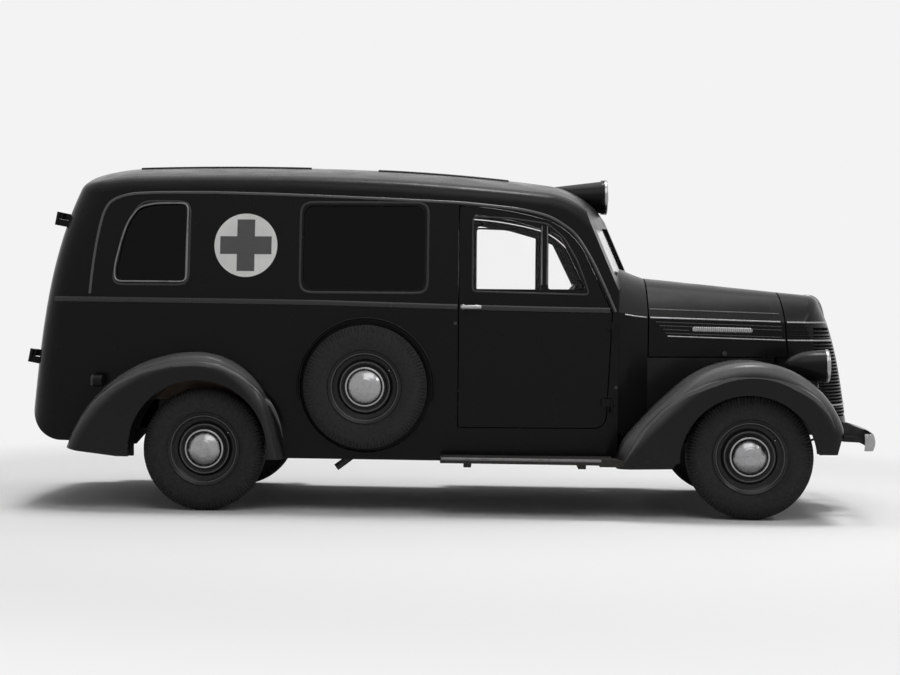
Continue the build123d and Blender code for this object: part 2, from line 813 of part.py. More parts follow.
def wheel_solid(centre, side, with_drum=True):
    """Pressed wheel: drop-centre rim, ribbed disc, hubcap dome, and the brake drum behind the disc."""
    flange = rim_width / 2
    metal = rim_metal
    well = rim_radius - 15
    disc_root = well - metal
    dome_rise = hubcap_rise - 6
    dome_radius = (hubcap_radius ** 2 + dome_rise ** 2) / (2 * dome_rise)
    dome_turn = math.asin(hubcap_radius / dome_radius) / 2
    dome_middle = (
        dome_radius * math.sin(dome_turn), disc_face + hubcap_rise - dome_radius * (1 - math.cos(dome_turn)),
    )
    with BuildPart() as wheel:
        with BuildSketch(Plane(origin=centre, x_dir=(1, 0, 0), y_dir=(0, side, 0))):
            with BuildLine():
                Polyline(
                    (rim_flange_radius - metal, -flange), (rim_flange_radius, -flange),
                    (rim_flange_radius, 4 - flange), (rim_radius, 8 - flange), (rim_radius, -22), (well, -10),
                    (well, 22), (rim_radius, 34), (rim_radius, flange - 8), (rim_flange_radius, flange - 4),
                    (rim_flange_radius, flange), (rim_flange_radius - metal, flange),
                    (rim_radius - metal, flange - 8), (rim_radius - metal, 38), (disc_root, 26), (disc_root, 16),
                    (disc_ring_radius + 16, 8), (disc_ring_radius, disc_face), (hubcap_radius + 10, disc_face - 8),
                    (hubcap_radius, disc_face - 8), (hubcap_radius, disc_face + 6),
                )
                ThreePointArc((hubcap_radius, disc_face + 6), dome_middle, (0, disc_face + hubcap_rise))
                if with_drum:
                    Polyline(
                        (0, disc_face + hubcap_rise), (0, spindle_reach + 3),
                        (spindle_radius + running_gap, spindle_reach + 3),
                        (spindle_radius + running_gap, -hub_inboard), (hub_radius, -hub_inboard), (hub_radius, -4),
                        (drum_radius - 12, -4), (drum_radius - 12, -hub_inboard), (drum_radius, -hub_inboard),
                        (drum_radius, 2), (disc_root, -6), (disc_root, -14), (rim_radius - metal, -26),
                        (rim_radius - metal, 8 - flange), (rim_flange_radius - metal, -flange),
                    )
                else:
                    Polyline(
                        (0, disc_face + hubcap_rise), (0, spare_disc_back), (drum_radius, spare_disc_back),
                        (disc_root, -6),
                        (disc_root, -14), (rim_radius - metal, -26), (rim_radius - metal, 8 - flange),
                        (rim_flange_radius - metal, -flange),
                    )
            make_face()
        revolve(axis=Axis(centre, (0, 1, 0)))
    return wheel.part


WHEELS = (
    ("front_right", front_x, -front_wheel_y, -1),
    ("front_left", front_x, front_wheel_y, 1),
    ("rear_right", rear_x, -rear_wheel_y, -1),
    ("rear_left", rear_x, rear_wheel_y, 1),
)
for corner_name, wheel_x, wheel_y, side in WHEELS:
    with BuildPart() as tyre:
        add(tyre_solid((wheel_x, wheel_y, axle_height), side))
    save(tyre, "tyre_" + corner_name)
    with BuildPart() as wheel:
        add(wheel_solid((wheel_x, wheel_y, axle_height), side))
    save(wheel, "wheel_" + corner_name)

# Spare, in the well of the right body side
spare_centre = (at(spare_station), -(spare_face_y - tyre_width / 2), spare_z)
with BuildPart() as spare_tyre:
    add(tyre_solid(spare_centre, -1))
save(spare_tyre, "spare_tyre")
with BuildPart() as spare_wheel:
    add(wheel_solid(spare_centre, -1, with_drum=False))
save(spare_wheel, "spare_wheel")


def door_opening(side, grow):
    """Region of a cab door through the body wall."""
    return side_prism(door_outline(grow), *span(side, 300, half_reach))


def rear_opening(side, grow):
    """Region of a rear door leaf through the tail wall."""
    return rear_prism(rear_door_outline(side, grow), *tail_region_x)


def tail_round():
    """Region cut away under the rounded lower edge of the tail."""
    with BuildSketch() as outline:
        with BuildLine():
            Line((at(-1300), 600), (at(tail_lift_station), 600))
            ThreePointArc((at(tail_lift_station), 600), (at(-1008), 468), (at(-880), 400))
            Polyline((at(-880), 400), (at(-700), 396), (at(-560), sill_z), (at(-560), 200), (at(-1300), 200),
                     (at(-1300), 600))
        make_face()
    return side_prism(outline.sketch, -half_reach, half_reach)


tail_cut = tail_round()
hinge_low = Vector(at(rear_hinge_low[0]), 0, rear_hinge_low[1])
hinge_high = Vector(at(rear_hinge_high[0]), 0, rear_hinge_high[1])
hinge_way = (hinge_high - hinge_low).normalized()


def hinge_plane(side, base, lift):
    """Plane across the rear hinge line, lift above one hinge's middle."""
    origin = base + hinge_way * lift + Vector(0, side * rear_hinge_y, 0)
    return Plane(origin=origin, x_dir=(0, 1, 0), z_dir=hinge_way)


# Body sides, each one panel with its windows, wheel opening and, on the right, the spare's well
for name, side in SIDES:
    with BuildPart() as body_side:
        add(outer)
        add(half_space(side), mode=Mode.INTERSECT)
        add(roof_region, mode=Mode.SUBTRACT)
        add(cowl_region, mode=Mode.SUBTRACT)
        add(tail_cut, mode=Mode.SUBTRACT)
        add(inner, mode=Mode.SUBTRACT)
        add(door_opening(side, panel_gap), mode=Mode.SUBTRACT)
        add(rear_opening(side, panel_gap), mode=Mode.SUBTRACT)
        for cut in (side_window_outline(0), quarter_window_outline(0)):
            add(side_prism(cut, *span(side, 500, half_reach)), mode=Mode.SUBTRACT)
        with BuildSketch(Plane.XZ.offset(-side * 560)):
            with Locations((rear_x, axle_height)):
                Circle(wheelhouse_radius)
            with Locations((rear_x, axle_height / 2)):
                Rectangle(2 * wheelhouse_radius, axle_height)
        extrude(amount=-side * 400, mode=Mode.SUBTRACT)
        if name == "right":
            with BuildSketch(Plane.XZ.offset(spare_well_depth_y - well_metal)):
                with Locations((at(spare_station), spare_z)):
                    Circle(spare_well_radius + well_metal)
            extrude(amount=130)
            add(outer, mode=Mode.INTERSECT)
            with BuildSketch(Plane.XZ.offset(spare_well_depth_y)):
                with Locations((at(spare_station), spare_z)):
                    Circle(spare_well_radius)
            extrude(amount=200, mode=Mode.SUBTRACT)
            with BuildSketch(Plane.XZ.offset(spare_well_depth_y - 1)):
                with Locations((at(spare_station), spare_z)):
                    Circle(spare_boss_radius)
            extrude(amount=-spare_centre[1] + spare_disc_back - seat_gap - spare_well_depth_y + 1)
        for base in (hinge_low, hinge_high):
            with BuildSketch(hinge_plane(side, base, -42)):
                Circle(rear_barrel_radius)
                with Locations((side * 1, -40)):
                    Rectangle(16, 80)
            extrude(amount=40)
            with BuildSketch(hinge_plane(side, base, -42)):
                Circle(rear_pin_radius)
            extrude(amount=80)
    save(body_side, "body_side_" + name)

# Roof panel, from the drip seam up, with the windscreen header
screen_cut = []
for name, side in SIDES:
    outer_plane = screen_plane(side, 0)
    with BuildPart() as pane_cut:
        with BuildSketch(outer_plane.offset(40)):
            with BuildLine():
                Polyline(*[tuple(outer_plane.to_local_coords(Vector(*corner)))[:2] for corner in (
                    (at(screen_top_station + 8), side * 26, screen_top_z - 62),
                    (at(screen_foot_station - 8), side * 26, screen_foot_z + 34),
                    (at(screen_foot_station - 100), side * 560, screen_foot_z - 22),
                    (at(screen_side_station + 4), side * 540, screen_side_z - 52),
                )], close=True)
            make_face()
        extrude(amount=-120)
    screen_cut.append(pane_cut.part)

with BuildPart() as roof_panel:
    add(outer)
    add(roof_region, mode=Mode.INTERSECT)
    add(inner, mode=Mode.SUBTRACT)
    for cut in screen_cut:
        add(cut, mode=Mode.SUBTRACT)
    for name, side in SIDES:
        add(door_opening(side, panel_gap), mode=Mode.SUBTRACT)
save(roof_panel, "roof_panel")

# Cowl: windscreen posts, firewall, kick panels and the scuttle up to the hood
cowl_outer = cowl_form(0)
cowl_inner = cowl_form(hood_metal)
with BuildPart() as cowl:
    add(outer)
    add(cowl_region, mode=Mode.INTERSECT)
    add(inner, mode=Mode.SUBTRACT)
    for cut in screen_cut:
        add(cut, mode=Mode.SUBTRACT)
    for name, side in SIDES:
        add(door_opening(side, panel_gap), mode=Mode.SUBTRACT)
    add(block(at(2300), at(2700), -470, 470, 200, rail_top_z + floor_thickness), mode=Mode.SUBTRACT)
    add(cowl_outer - outer - cowl_inner)
    for name, side in SIDES:
        for z in door_hinge_heights:
            middle_z = z - (door_barrel_length + running_gap) / 2
            leaf_low = middle_z - door_barrel_length / 2
            leaf_high = middle_z + door_barrel_length / 2
            leaf_y = span(side, door_hinge_y - door_barrel_radius, door_hinge_y)
            leaf_end = door_hinge_x + door_leaf_length / 2
            with Locations((door_hinge_x, side * door_hinge_y, middle_z)):
                Cylinder(door_barrel_radius, door_barrel_length)
            add(block(door_hinge_x, leaf_end, *leaf_y, leaf_low, leaf_high))
            add(block(
                leaf_end - door_pad_length, leaf_end, *span(side, cowl_pad_y, door_hinge_y), leaf_low, leaf_high))
            with Locations((door_hinge_x, side * door_hinge_y, z)):
                Cylinder(door_pin_radius, 2 * door_barrel_length)
save(cowl, "cowl")

# Floor with its wheelhouses
floor_form = body_form(wall + seat_gap)
door_clear = body_form(wall + 8)
with BuildPart() as floor_pan:
    add(floor_form)
    add(block(at(-1300), at(2700), -900, 900, rail_top_z, rail_top_z + floor_thickness), mode=Mode.INTERSECT)
    for name, side in SIDES:
        with BuildSketch(Plane.XZ.offset(-side * wheelhouse_inner_y)):
            with Locations((rear_x, axle_height)):
                Circle(wheelhouse_radius + 18)
        extrude(amount=-side * 300)
    add(block(at(-1300), at(2700), -900, 900, rail_bottom_z, 1200), mode=Mode.INTERSECT)
    add(floor_form, mode=Mode.INTERSECT)
    for name, side in SIDES:
        with BuildSketch(Plane.XZ.offset(-side * (wheelhouse_inner_y + 18))):
            with Locations((rear_x, axle_height)):
                Circle(wheelhouse_radius)
        extrude(amount=-side * 300, mode=Mode.SUBTRACT)
    for x_low, x_high in ((at(1470), at(2420)), (at(-1300), at(-1000))):
        add(block(x_low, x_high, -900, 900, 500, 800) - door_clear, mode=Mode.SUBTRACT)
    with BuildSketch(Plane.XZ.offset(spare_well_depth_y - well_metal - seat_gap)):
        with Locations((at(spare_station), spare_z)):
            Circle(spare_well_radius + well_metal + seat_gap)
    extrude(amount=200, mode=Mode.SUBTRACT)
save(floor_pan, "floor_pan")

# Cab doors, each one panel as thick as the wall, hung on two barrels at the front edge
for name, side in SIDES:
    with BuildPart() as door:
        add(outer)
        add(door_opening(side, 0), mode=Mode.INTERSECT)
        add(inner, mode=Mode.SUBTRACT)
        for cut in (door_window_outline(0), vent_outline(0)):
            add(side_prism(cut, *span(side, 400, half_reach)), mode=Mode.SUBTRACT)
        with BuildSketch(Plane.YZ.offset(at(door_rear_station + 10))):
            with Locations((side * (handle_y + 34), handle_z)):
                Circle(9)
        extrude(amount=122)
        for offset_x in (24, 100):
            with BuildSketch(Plane.XZ.offset(-side * (handle_y - 12))):
                with Locations((at(door_rear_station + offset_x), handle_z)):
                    Circle(7)
            extrude(amount=-side * 44)
        for z in door_hinge_heights:
            middle_z = z + (door_barrel_length + running_gap) / 2
            leaf_low = middle_z - door_barrel_length / 2
            leaf_high = middle_z + door_barrel_length / 2
            leaf_y = span(side, door_hinge_y - door_barrel_radius, door_hinge_y)
            with Locations((door_hinge_x, side * door_hinge_y, middle_z)):
                Cylinder(door_barrel_radius, door_barrel_length)
            add(block(door_hinge_x - door_leaf_length, door_hinge_x, *leaf_y, leaf_low, leaf_high))
            add(block(
                door_hinge_x - door_leaf_length, door_hinge_x - door_leaf_length + door_pad_length,
                *span(side, door_pad_y, door_hinge_y), leaf_low, leaf_high))
            with Locations((door_hinge_x, side * door_hinge_y, middle_z)):
                Cylinder(door_pin_radius + running_gap, 2 * door_barrel_length, mode=Mode.SUBTRACT)
    save(door, "door_" + name)
    with BuildPart() as door_glass:
        add(glass_band)
        add(side_prism(door_window_outline(-seat_gap), *span(side, 400, half_reach))
            + side_prism(vent_outline(-seat_gap), *span(side, 400, half_reach)), mode=Mode.INTERSECT)
    save(door_glass, "door_glass_" + name)

# Rear doors
for name, side in SIDES:
    with BuildPart() as rear_door:
        add(outer)
        add(rear_opening(side, 0), mode=Mode.INTERSECT)
        add(inner, mode=Mode.SUBTRACT)
        add(rear_prism(rear_window_outline(side, 0), *tail_region_x), mode=Mode.SUBTRACT)
        for base in (hinge_low, hinge_high):
            with BuildSketch(hinge_plane(side, base, -1.5)):
                Circle(rear_barrel_radius)
                with Locations((-side * 30, -15)):
                    Rectangle(60, 18)
                with Locations((-side * 52, -50)):
                    Rectangle(16, 88)
            extrude(amount=40)
            with BuildSketch(hinge_plane(side, base, -1.5)):
                Circle(rear_pin_radius + running_gap)
            extrude(amount=40, mode=Mode.SUBTRACT)
        add(inner, mode=Mode.SUBTRACT)
        if name == "right":
            with BuildSketch(Plane.YZ.offset(at(-1085))):
                with Locations((-40, 1130)):
                    Circle(10)
            extrude(amount=70)
            with BuildSketch(Plane.YZ.offset(at(-1095))):
                with Locations((-40, 1130)):
                    RectangleRounded(20, 120, 8)
            extrude(amount=16)
    save(rear_door, "rear_door_" + name)
    with BuildPart() as rear_glass:
        add(glass_band)
        add(rear_prism(rear_window_outline(side, -seat_gap), *tail_region_x), mode=Mode.INTERSECT)
    save(rear_glass, "rear_glass_" + name)

# Fixed glass: windscreen panes, side and quarter windows
with BuildPart() as body_glass:
    add(glass_band)
    keep = screen_cut[0] + screen_cut[1]
    for name, side in SIDES:
        for cut in (side_window_outline(-seat_gap), quarter_window_outline(-seat_gap)):
            keep = keep + side_prism(cut, *span(side, 500, half_reach))
    add(keep, mode=Mode.INTERSECT)
save(body_glass, "body_glass")

# Radiator shell with its bars
rail_clear = rail_outer_y + seat_gap
rail_notch = block(at(2200), at(rail_front_station) + 2, -rail_clear, rail_clear, 0, rail_top_z + seat_gap)
nose_outer = nose_form(0)
nose_inner = nose_form(hood_metal)
seam_front = seam_prism(0.0)
with BuildPart() as grille_shell:
    add(nose_outer)
    add(nose_inner, mode=Mode.SUBTRACT)
    add(seam_front, mode=Mode.INTERSECT)
    add(block(at(grille_root_station), at(4000), -500, 500, grille_bottom_z, grille_top_z), mode=Mode.SUBTRACT)
    count = int((grille_top_z - grille_bottom_z) // grille_pitch)
    strip = grille_strip / 2
    bars = block(at(grille_root_station) - 10, at(4000), -strip, strip, grille_bottom_z - 5, grille_top_z + 5)
    for index in range(count):
        z = grille_bottom_z + (index + 0.5) * grille_pitch
        bars = bars + block(at(grille_root_station) - 10, at(4000), -500, 500, z, z + grille_bar)
    add(bars & (nose_outer - nose_inner))
    add(rail_notch, mode=Mode.SUBTRACT)
save(grille_shell, "grille_shell")

# Hood halves, hinged on the rod along the ridge
ridge_rear = Vector(at(hood_rear_station), 0, hood_rear_section[0] - hood_hinge_sink)
ridge_front = Vector(at(hood_front_station), 0, hood_front_section[0] - hood_hinge_sink)
ridge_way = (ridge_front - ridge_rear).normalized()
hood_outer = hood_form(0)
hood_inner = hood_form(hood_metal)
seam_rear = seam_prism(-hood_gap)
for name, side in SIDES:
    with BuildPart() as hood:
        add(hood_outer)
        add(hood_inner, mode=Mode.SUBTRACT)
        add(half_space(side, seat_gap / 2), mode=Mode.INTERSECT)
        add(seam_rear, mode=Mode.SUBTRACT)
        add(block(at(2500), at(hood_rear_station) + hood_gap, -900, 900, 300, 1500), mode=Mode.SUBTRACT)
        add(block(at(2500), at(3900), -900, 900, 300, hood_skirt_z), mode=Mode.SUBTRACT)
        with BuildSketch(Plane(origin=ridge_rear - ridge_way * 20, z_dir=ridge_way)):
            Circle(hood_hinge_radius + running_gap + 0.1)
        extrude(amount=1000, mode=Mode.SUBTRACT)
    save(hood, "hood_" + name)

with BuildPart() as hood_hinge:
    with BuildSketch(Plane(origin=ridge_rear - ridge_way * 20, z_dir=ridge_way)):
        Circle(hood_hinge_radius)
    extrude(amount=(ridge_front - ridge_rear).length + 20)
    add(block(at(2500), at(hood_rear_station) + seat_gap, -30, 30, 1200, 1500), mode=Mode.SUBTRACT)
    add(seam_prism(-seat_gap), mode=Mode.SUBTRACT)
save(hood_hinge, "hood_hinge")

# Fenders: rounded crowns with open wheel arches, and the engine aprons under the hood
body_mass = outer + hood_outer + cowl_outer + nose_outer
front_crown = arch_outline(front_crown_top, front_crown_rear, front_crown_fore, 0)
front_hollow = arch_outline(front_crown_top, front_crown_rear, front_crown_fore, fender_metal)
rear_crown = arch_outline(rear_crown_top, rear_crown_rear, rear_crown_fore, 0)
rear_hollow = arch_outline(rear_crown_top, rear_crown_rear, rear_crown_fore, fender_metal)

with BuildSketch() as front_trim:
    with BuildLine():
        Polyline(
            (at(2200), 50), (at(2200), 285), (at(2719), 298), (at(2740), 328), (at(3560), 392), (at(3645), 392),
            (at(3672), 480), (at(3760), 500), (at(3760), 50), (at(2200), 50),
        )
    make_face()
    with Locations((at(front_arch_station), front_arch_z)):
        Circle(front_arch_radius)
with BuildSketch() as rear_trim:
    with BuildLine():
        Polyline((at(-950), 50), (at(-950), 392), (at(-740), 350), (at(-500), 322), (at(560), sill_z), (at(560), 50),
                 (at(-950), 50))
    make_face()
    with Locations((at(rear_arch_station), axle_height)):
        Circle(rear_arch_radius)
front_lips = side_prism(front_trim.sketch, -half_reach, half_reach)
rear_lips = side_prism(rear_trim.sketch, -half_reach, half_reach)
apron_region = block(at(hood_rear_station), at(3700), -700, 700, rail_top_z + seat_gap, hood_skirt_z - hood_gap)
front_fender_solid = {}
with BuildPart() as front_fenders:
    for name, side in SIDES:
        crown = fender_form(side, front_crown, 300, front_fender_y, fender_round)
        front_fender_solid[name] = crown
        hollow = fender_form(side, front_hollow, 290, front_fender_y - fender_metal, fender_round - fender_metal)
        piece = crown - hollow - front_lips - body_mass - rail_notch
        apron = ((hood_outer - hood_inner) & apron_region & half_space(side)) - seam_front - nose_outer
        add(piece + apron)
save(front_fenders, "front_fenders")

with BuildPart() as rear_fenders:
    for name, side in SIDES:
        crown = fender_form(side, rear_crown, 600, rear_fender_y, fender_round)
        hollow = fender_form(side, rear_hollow, 590, rear_fender_y - fender_metal, fender_round - fender_metal)
        add(crown - hollow - rear_lips - outer)
save(rear_fenders, "rear_fenders")

# Running boards with their brackets from the rails
with BuildPart() as running_boards:
    for name, side in SIDES:
        add(block(at(1396), at(2384), *span(side, 640, 900), 311, 346) - outer - front_fender_solid[name])
        for station in (1530.0, 2190.0):
            add(block(at(station), at(station) + 44, *span(side, rail_outer_y + seat_gap, 860), 285, 311.0))
            add(block(at(station), at(station) + 44, *span(side, rail_outer_y + seat_gap, rail_outer_y + 20), 285, 560))
save(running_boards, "running_boards")

# Headlamps: bullet shells on short pedestals on the fenders, and their lenses
lamp_tail = at(3389)
lamp_crown = at(3610)
lamp_bead_x = at(3620)
lamp_rim = at(3640)
with BuildPart() as headlamps:
    for name, side in SIDES:
        with BuildPart(mode=Mode.PRIVATE) as lamp:
            with BuildSketch(Plane(origin=(0, side * headlamp_y, headlamp_z), x_dir=(1, 0, 0), y_dir=(0, 0, 1))):
                with BuildLine():
                    Line((lamp_tail, 0), (lamp_rim, 0))
                    Polyline(
                        (lamp_rim, 0), (lamp_rim, headlamp_radius + headlamp_bead),
                        (lamp_bead_x, headlamp_radius + headlamp_bead), (lamp_bead_x, headlamp_radius),
                        (lamp_crown, headlamp_radius),
                    )
                    EllipticalCenterArc((lamp_crown, 0), lamp_crown - lamp_tail, headlamp_radius, 90, arc_size=90)
                make_face()
            revolve(axis=Axis((0, side * headlamp_y, headlamp_z), (1, 0, 0)))
            with Locations((at(3540), side * (headlamp_y + 5), headlamp_z - 110)):
                Cylinder(30, 120)
        add(lamp.part - front_fender_solid[name])
save(headlamps, "headlamps")

with BuildPart() as lamp_lenses:
    for name, side in SIDES:
        with BuildSketch(Plane.YZ.offset(lamp_rim + seat_gap)):
            with Locations((side * headlamp_y, headlamp_z)):
                Circle(headlamp_radius - 8)
        extrude(amount=14)
save(lamp_lenses, "lamp_lenses")

# Tail lamps on brackets above the rear fenders
with BuildPart() as tail_lamps:
    for name, side in SIDES:
        with BuildSketch(Plane.YZ.offset(at(-657))):
            with Locations((side * 838, 760)):
                Circle(36)
        extrude(amount=62)
        add(block(at(-625), at(-601), *span(side, 700, 830), 756, 776) - outer)
save(tail_lamps, "tail_lamps")

# Front bumper: bowed bar with its ends curled back, on two irons from the rails
bracket_station = 3662.0
bumper_low_z = 411.0
bumper_height = 98.0
bumper_metal = 12.0
bumper_front_station = 3924.0
bumper_end = (3867.0, 810.0)
bumper_curl = 38.0
bumper_iron_y = 397.0
with BuildPart() as bumper:
    with BuildSketch(Plane.XY.offset(bumper_low_z)):
        with BuildLine():
            bow = ThreePointArc(
                (at(bumper_end[0]), -bumper_end[1]), (at(bumper_front_station), 0), (at(bumper_end[0]), bumper_end[1])
            )
            for tip, heading, turn in ((bow @ 0, (bow % 0) * -1, -82), (bow @ 1, bow % 1, 82)):
                curl = JernArc(tip, heading, bumper_curl, turn)
                Line(curl @ 1, curl @ 1 + (curl % 1) * 22)
        trace(line_width=bumper_metal)
    extrude(amount=bumper_height)
    for name, side in SIDES:
        add(block(
            at(bracket_station), at(3840), *span(side, 372, 422), rail_bottom_z - seat_gap - 14,
            rail_bottom_z - seat_gap))
        with BuildSketch() as iron:
            with BuildLine():
                Polyline(
                    (at(3702), 440), (at(3702), 565), (at(3780), 545), (at(3908), 500), (at(3908), 425),
                    (at(3780), 430), (at(3702), 440),
                )
            make_face()
        add(side_prism(iron.sketch, *span(side, bumper_iron_y - 7, bumper_iron_y + 7)))
save(bumper, "bumper")

# Roof lamp: a forward-facing cone on the roof's front slope
with BuildPart() as roof_lamp:
    with BuildSketch(Plane(origin=(0, 0, roof_lamp_z), x_dir=(1, 0, 0), y_dir=(0, 0, 1))):
        with BuildLine():
            Polyline(
                (at(2027), 0), (at(2027), 60), (at(2357), 100), (at(2357), 107), (at(2387), 107), (at(2387), 0),
                (at(2027), 0),
            )
        make_face()
    revolve(axis=Axis((0, 0, roof_lamp_z), (1, 0, 0)))
    add(block(at(2040), at(2340), -40, 40, 1700, roof_lamp_z))
    add(outer, mode=Mode.SUBTRACT)
save(roof_lamp, "roof_lamp")

# Dashboard with steering column and wheel
with BuildPart() as dashboard:
    add(block(at(2330), at(2400), -700, 700, 1060, 1270) & door_clear)
    add(block(at(2400), at(2500), -700, 700, 1060, 1270) & floor_form)
    add(block(at(2335), at(2365), steering_hub[1] - 14, steering_hub[1] + 14, 1005, 1070))
    with BuildSketch(Plane(origin=steering_hub, z_dir=steering_way)):
        Circle(18)
    extrude(amount=400)
    with BuildSketch(Plane(origin=steering_hub, z_dir=steering_way)):
        Circle(34)
        Rectangle(2 * steering_wheel_radius - 6, 16)
        Rectangle(16, 2 * steering_wheel_radius - 6)
    extrude(amount=10)
    with BuildSketch(Plane(origin=steering_hub, x_dir=steering_way, z_dir=(0, 1, 0))):
        with Locations((5, steering_wheel_radius)):
            Circle(11)
    revolve(axis=Axis(steering_hub, steering_way))
save(dashboard, "dashboard")

# Cab bench, and the two litter benches of the load space
floor_top = rail_top_z + floor_thickness
with BuildSketch() as seat_outline:
    with BuildLine():
        Polyline(
            (at(1560), floor_top + seat_gap), (at(1540), 1300), (at(1640), 1300), (at(1680), 900), (at(2010), 915),
            (at(2010), 820), (at(1970), floor_top + seat_gap), (at(1560), floor_top + seat_gap),
        )
    make_face()
    fillet(seat_outline.vertices().filter_by(lambda point: point.Y > 860), 30)
with BuildPart() as cab_seat:
    add(side_prism(seat_outline.sketch, -620, 620))
save(cab_seat, "cab_seat")
with BuildPart() as litter_benches:
    for name, side in SIDES:
        add(block(at(-760), at(1250), *span(side, 330, 660), 960, 1030))
        for station in (-740.0, 560.0, 1180.0):
            add(block(at(station), at(station) + 50, *span(side, 340, 390), floor_top + seat_gap, 960))
save(litter_benches, "litter_benches")

# Exhaust and fuel tank
with BuildPart() as exhaust:
    with BuildLine() as pipe_run:
        FilletPolyline(
            (at(2660), -250, 440), (at(1300), -250, 430), (at(1000), -500, 400), (at(880), -500, 330),
            (at(760), -500, 240), radius=60,
        )
    with BuildSketch(Plane(origin=pipe_run.line @ 0, z_dir=pipe_run.line % 0)):
        Circle(exhaust_radius)
    sweep(path=pipe_run.line)
    with BuildSketch(Plane.YZ.offset(at(1350))):
        with Locations((-250, 431)):
            Ellipse(95, 34)
    extrude(amount=560)
    hanger_top = cross_member_z - seat_gap
    add(block(at(1520), at(1550), -260, -240, 440, hanger_top))
    rail_side = -rail_outer_y - seat_gap
    add(block(at(890), at(915), -510, rail_side, rail_bottom_z + 20, rail_bottom_z + 26))
    add(block(at(890), at(915), -510, -490, 350, rail_bottom_z + 26))
save(exhaust, "exhaust")
with BuildPart() as fuel_tank:
    add(block(at(560), at(1180), 445, 695, 345, rail_top_z - seat_gap))
    fillet(fuel_tank.edges().filter_by(Axis.X), 36)
save(fuel_tank, "fuel_tank")
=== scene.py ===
"""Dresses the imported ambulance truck: finishes, tyre treads, mouldings, lamps, seats, and the studio round it.

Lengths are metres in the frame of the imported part: +X forward, +Y to the vehicle's left, +Z up, with the ground
at z = 0. Stations are metres forward of the rear axle, and at() turns one into X.
"""

import json
import logging
import math
from dataclasses import dataclass
from enum import Enum
from typing import Sequence

import bmesh
import bpy
import numpy as np
from mathutils import Euler, Matrix, Vector


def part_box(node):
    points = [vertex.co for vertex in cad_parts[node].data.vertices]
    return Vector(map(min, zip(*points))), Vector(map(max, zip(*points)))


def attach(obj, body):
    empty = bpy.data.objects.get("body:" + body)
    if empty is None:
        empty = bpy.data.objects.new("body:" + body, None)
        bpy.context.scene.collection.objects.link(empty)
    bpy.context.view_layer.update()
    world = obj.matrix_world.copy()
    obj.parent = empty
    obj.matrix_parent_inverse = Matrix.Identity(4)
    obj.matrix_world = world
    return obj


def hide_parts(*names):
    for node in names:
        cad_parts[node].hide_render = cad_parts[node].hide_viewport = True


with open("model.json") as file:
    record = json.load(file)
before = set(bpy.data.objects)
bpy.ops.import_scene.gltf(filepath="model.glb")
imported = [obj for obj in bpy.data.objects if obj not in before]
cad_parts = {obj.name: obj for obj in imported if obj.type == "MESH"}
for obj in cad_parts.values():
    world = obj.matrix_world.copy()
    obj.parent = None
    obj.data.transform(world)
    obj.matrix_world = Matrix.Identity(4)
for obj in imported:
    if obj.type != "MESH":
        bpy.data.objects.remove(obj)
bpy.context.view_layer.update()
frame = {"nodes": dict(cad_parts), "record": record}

LOG = logging.getLogger("ambulance")

ORIGIN_STATION = 1.402
WHEELBASE = 3.175
AXLE_HEIGHT = 0.362
TYRE_RADIUS = 0.362
SIDES: tuple[tuple[str, int], ...] = (("right", -1), ("left", 1))
ROOT_BODY = "chassis"
HOOD_REAR = 2.604
FINE_STEPS = 1200

Socket = bpy.types.NodeSocket
Finish = bpy.types.Material
Piece = bpy.types.Object
Colour = tuple[float, float, float]
Place = tuple[float, float, float]
Corners = Sequence[tuple[float, float]]


def at(station: float) -> float:
    """X of a station measured forward of the rear axle."""
    return station - ORIGIN_STATION


class Slot(Enum):
    """The record's material slots, from which the imported nodes take their finish."""

    PAINT = "body_paint"
    CHASSIS = "chassis_paint"
    CASTING = "castings"
    TYRE = "tyre_rubber"
    WHEEL = "wheel_paint"
    BRIGHT = "bright_metal"
    GLASS = "glass"
    LENS = "lens_glass"
    SEAT = "seat_cover"
    BOARD = "board_rubber"
    FLOOR = "floor_boards"


class Axis(Enum):
    """The world axes by their column in an array of points."""

    X = 0
    Y = 1
    Z = 2


# Materials


class Tree:
    """A node tree under construction."""

    def __init__(self, tree: bpy.types.NodeTree) -> None:
        """Take the tree in hand."""
        self.tree = tree

    def link(self, source: Socket, target: Socket) -> None:
        """Join an output to an input."""
        self.tree.links.new(source, target)

    def node(self, kind: str) -> bpy.types.Node:
        """Add a shader node of a kind."""
        return self.tree.nodes.new(f"ShaderNode{kind}")

    def fed(self, node: bpy.types.Node, inputs: dict[str | int, object]) -> bpy.types.Node:
        """Fill the inputs of a node.

        Args:
            node: The node.
            inputs: A value or another node's output for each input, by name or number.

        Returns:
            The same node.
        """
        for key, value in inputs.items():
            if isinstance(value, Socket):
                self.link(value, node.inputs[key])
            else:
                node.inputs[key].default_value = value
        return node

    def joined(self, operation: str, first: Socket, second: Socket) -> Socket:
        """Two fields joined by an operation of the math node.

        Args:
            operation: Name of the operation.
            first: First field.
            second: Second field.

        Returns:
            The value output.
        """
        node = self.node("Math")
        node.operation = operation
        return self.fed(node, {0: first, 1: second}).outputs[0]

    def shaders(self, share: Socket, first: Socket, second: Socket) -> Socket:
        """Two shaders mixed by a field."""
        return self.fed(self.node("MixShader"), {"Fac": share, 1: first, 2: second}).outputs[0]

    def seen_directly(self) -> Socket:
        """One for the camera, for reflections and through glass, and nought for light on the truck.

        Returns:
            The value output.
        """
        path = self.node("LightPath")
        found = path.outputs["Is Camera Ray"]
        for ray in ("Is Transmission Ray", "Is Glossy Ray"):
            found = self.joined("MAXIMUM", found, path.outputs[ray])
        return found


